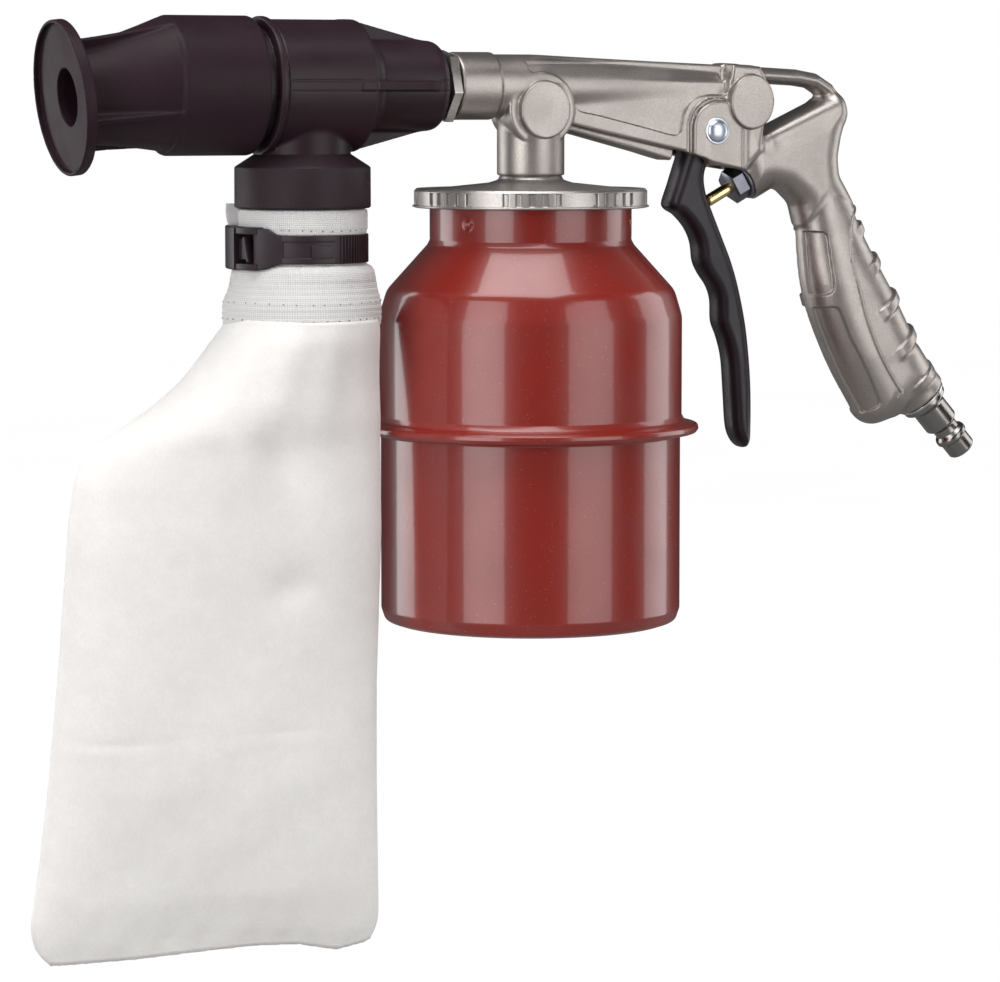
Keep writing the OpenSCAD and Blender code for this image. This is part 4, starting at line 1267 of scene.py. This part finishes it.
def add_cuff_flap():
    """The doubled seam allowance that stands out at the cuff's side."""
    rings = []
    turn = math.radians(157)
    c, s = math.cos(turn), math.sin(turn)
    for t in np.linspace(0, 1, 14):
        z = -39.2 - 7.2 * t
        out = 25.6 - 0.6 * t + 0.4 * math.sin(math.pi * t)
        section = eased([(20.8, -1.4, 0.5), (out, -1.7, 1.0), (out, 1.7, 1.0), (20.8, 1.4, 0.5)])
        rings.append(np.column_stack([BRANCH_X + section[:, 0] * c - section[:, 1] * s,
                                      section[:, 0] * s + section[:, 1] * c, np.full(len(section), z)]))
    points, quads, ends = loft(rings)
    build("cuff_flap", points, quads, "bag", LOOKS["cuff_knit"], rims=ends, crease=60)


add_cuff_flap()

# ---------------------------------------------------------------- studio


def around(angle, height, distance):
    """A place round the object's middle: the angle is to the right of the camera's own."""
    low, high = (Vector(c) for c in cad_box)
    turn = AZIMUTH + math.radians(angle)
    return (low + high) / 2 + Vector((math.sin(turn) * distance, -math.cos(turn) * distance, height))


def area_light(name, place, size, radiance):
    """A softbox that faces the object's middle, as bright all over as radiance."""
    data = bpy.data.lights.new(name, "AREA")
    data.shape = "RECTANGLE"
    data.size, data.size_y = size
    data.energy = radiance * math.pi * size[0] * size[1]
    lamp = bpy.data.objects.new(name, data)
    bpy.context.scene.collection.objects.link(lamp)
    lamp.location = place
    lamp.rotation_euler = (place - around(0, 0, 0)).to_track_quat("Z", "Y").to_euler()


def add_world():
    """White behind the object as the camera sees it, and a dim room with a pale far side as lighting."""
    world = bpy.data.worlds.new("studio")
    world.use_nodes = True
    tree = world.node_tree
    room = tree.nodes["Background"]
    paper = tree.nodes.new("ShaderNodeBackground")
    paper.inputs["Color"].default_value = (1, 1, 1, 1)
    seen = tree.nodes.new("ShaderNodeLightPath")
    choose = tree.nodes.new("ShaderNodeMixShader")
    tree.links.new(seen.outputs["Is Camera Ray"], choose.inputs["Fac"])
    tree.links.new(room.outputs["Background"], choose.inputs[1])
    tree.links.new(paper.outputs["Background"], choose.inputs[2])
    tree.links.new(choose.outputs["Shader"], tree.nodes["World Output"].inputs["Surface"])
    place = tree.nodes.new("ShaderNodeTexCoord")
    facing = tree.nodes.new("ShaderNodeVectorMath")
    facing.operation = "DOT_PRODUCT"
    facing.inputs[1].default_value = (-math.sin(AZIMUTH), math.cos(AZIMUTH), 0.45)
    tree.links.new(place.outputs["Generated"], facing.inputs[0])
    level = tree.nodes.new("ShaderNodeMapRange")
    tree.links.new(facing.outputs["Value"], level.inputs["Value"])
    for socket, value in (("From Min", 0.0), ("From Max", 0.75), ("To Min", 0.36), ("To Max", 1.25)):
        level.inputs[socket].default_value = value
    tree.links.new(level.outputs["Result"], room.inputs["Strength"])
    bpy.context.scene.world = world


def add_floor():
    """A plain pale floor well below the object; as lighting it counts for less than it shows."""
    mesh = bpy.data.meshes.new("floor")
    z = cad_box[0][2] - 0.3
    mesh.from_pydata([(-8, -8, z), (8, -8, z), (8, 8, z), (-8, 8, z)], [], [(0, 1, 2, 3)])
    floor = bpy.data.objects.new("floor", mesh)
    bpy.context.scene.collection.objects.link(floor)
    look = Look("floor_paper", Roughness=0.9)
    seen = look.add("ShaderNodeLightPath").outputs["Is Camera Ray"]
    mottle = look.blend(look.mapped(look.noise(400, 2), 0.3, 0.7), (0.985, 0.985, 0.985), (1, 1, 1))
    look.colour(look.blend(seen, (0.3, 0.3, 0.3), (0.02, 0.02, 0.02)))
    look.tree.links.new(mottle, look.shader.inputs["Emission Color"])
    look.tree.links.new(seen, look.shader.inputs["Emission Strength"])
    mesh.materials.append(look.done())


def add_studio():
    bpy.context.scene.view_settings.view_transform = "Standard"
    add_world()
    add_floor()
    area_light("left_box", around(-36, 0.12, 1.7), (1.0, 2.0), 3.7)
    area_light("right_box", around(46, 0.05, 1.7), (1.1, 2.0), 2.6)
    area_light("top_box", around(-20, 1.6, 0.5), (1.6, 1.0), 5.4)
    area_light("left_rim", around(-112, 0.05, 1.6), (0.7, 2.0), 3.4)
    area_light("right_rim", around(112, 0.05, 1.6), (0.9, 2.0), 2.4)


add_studio()
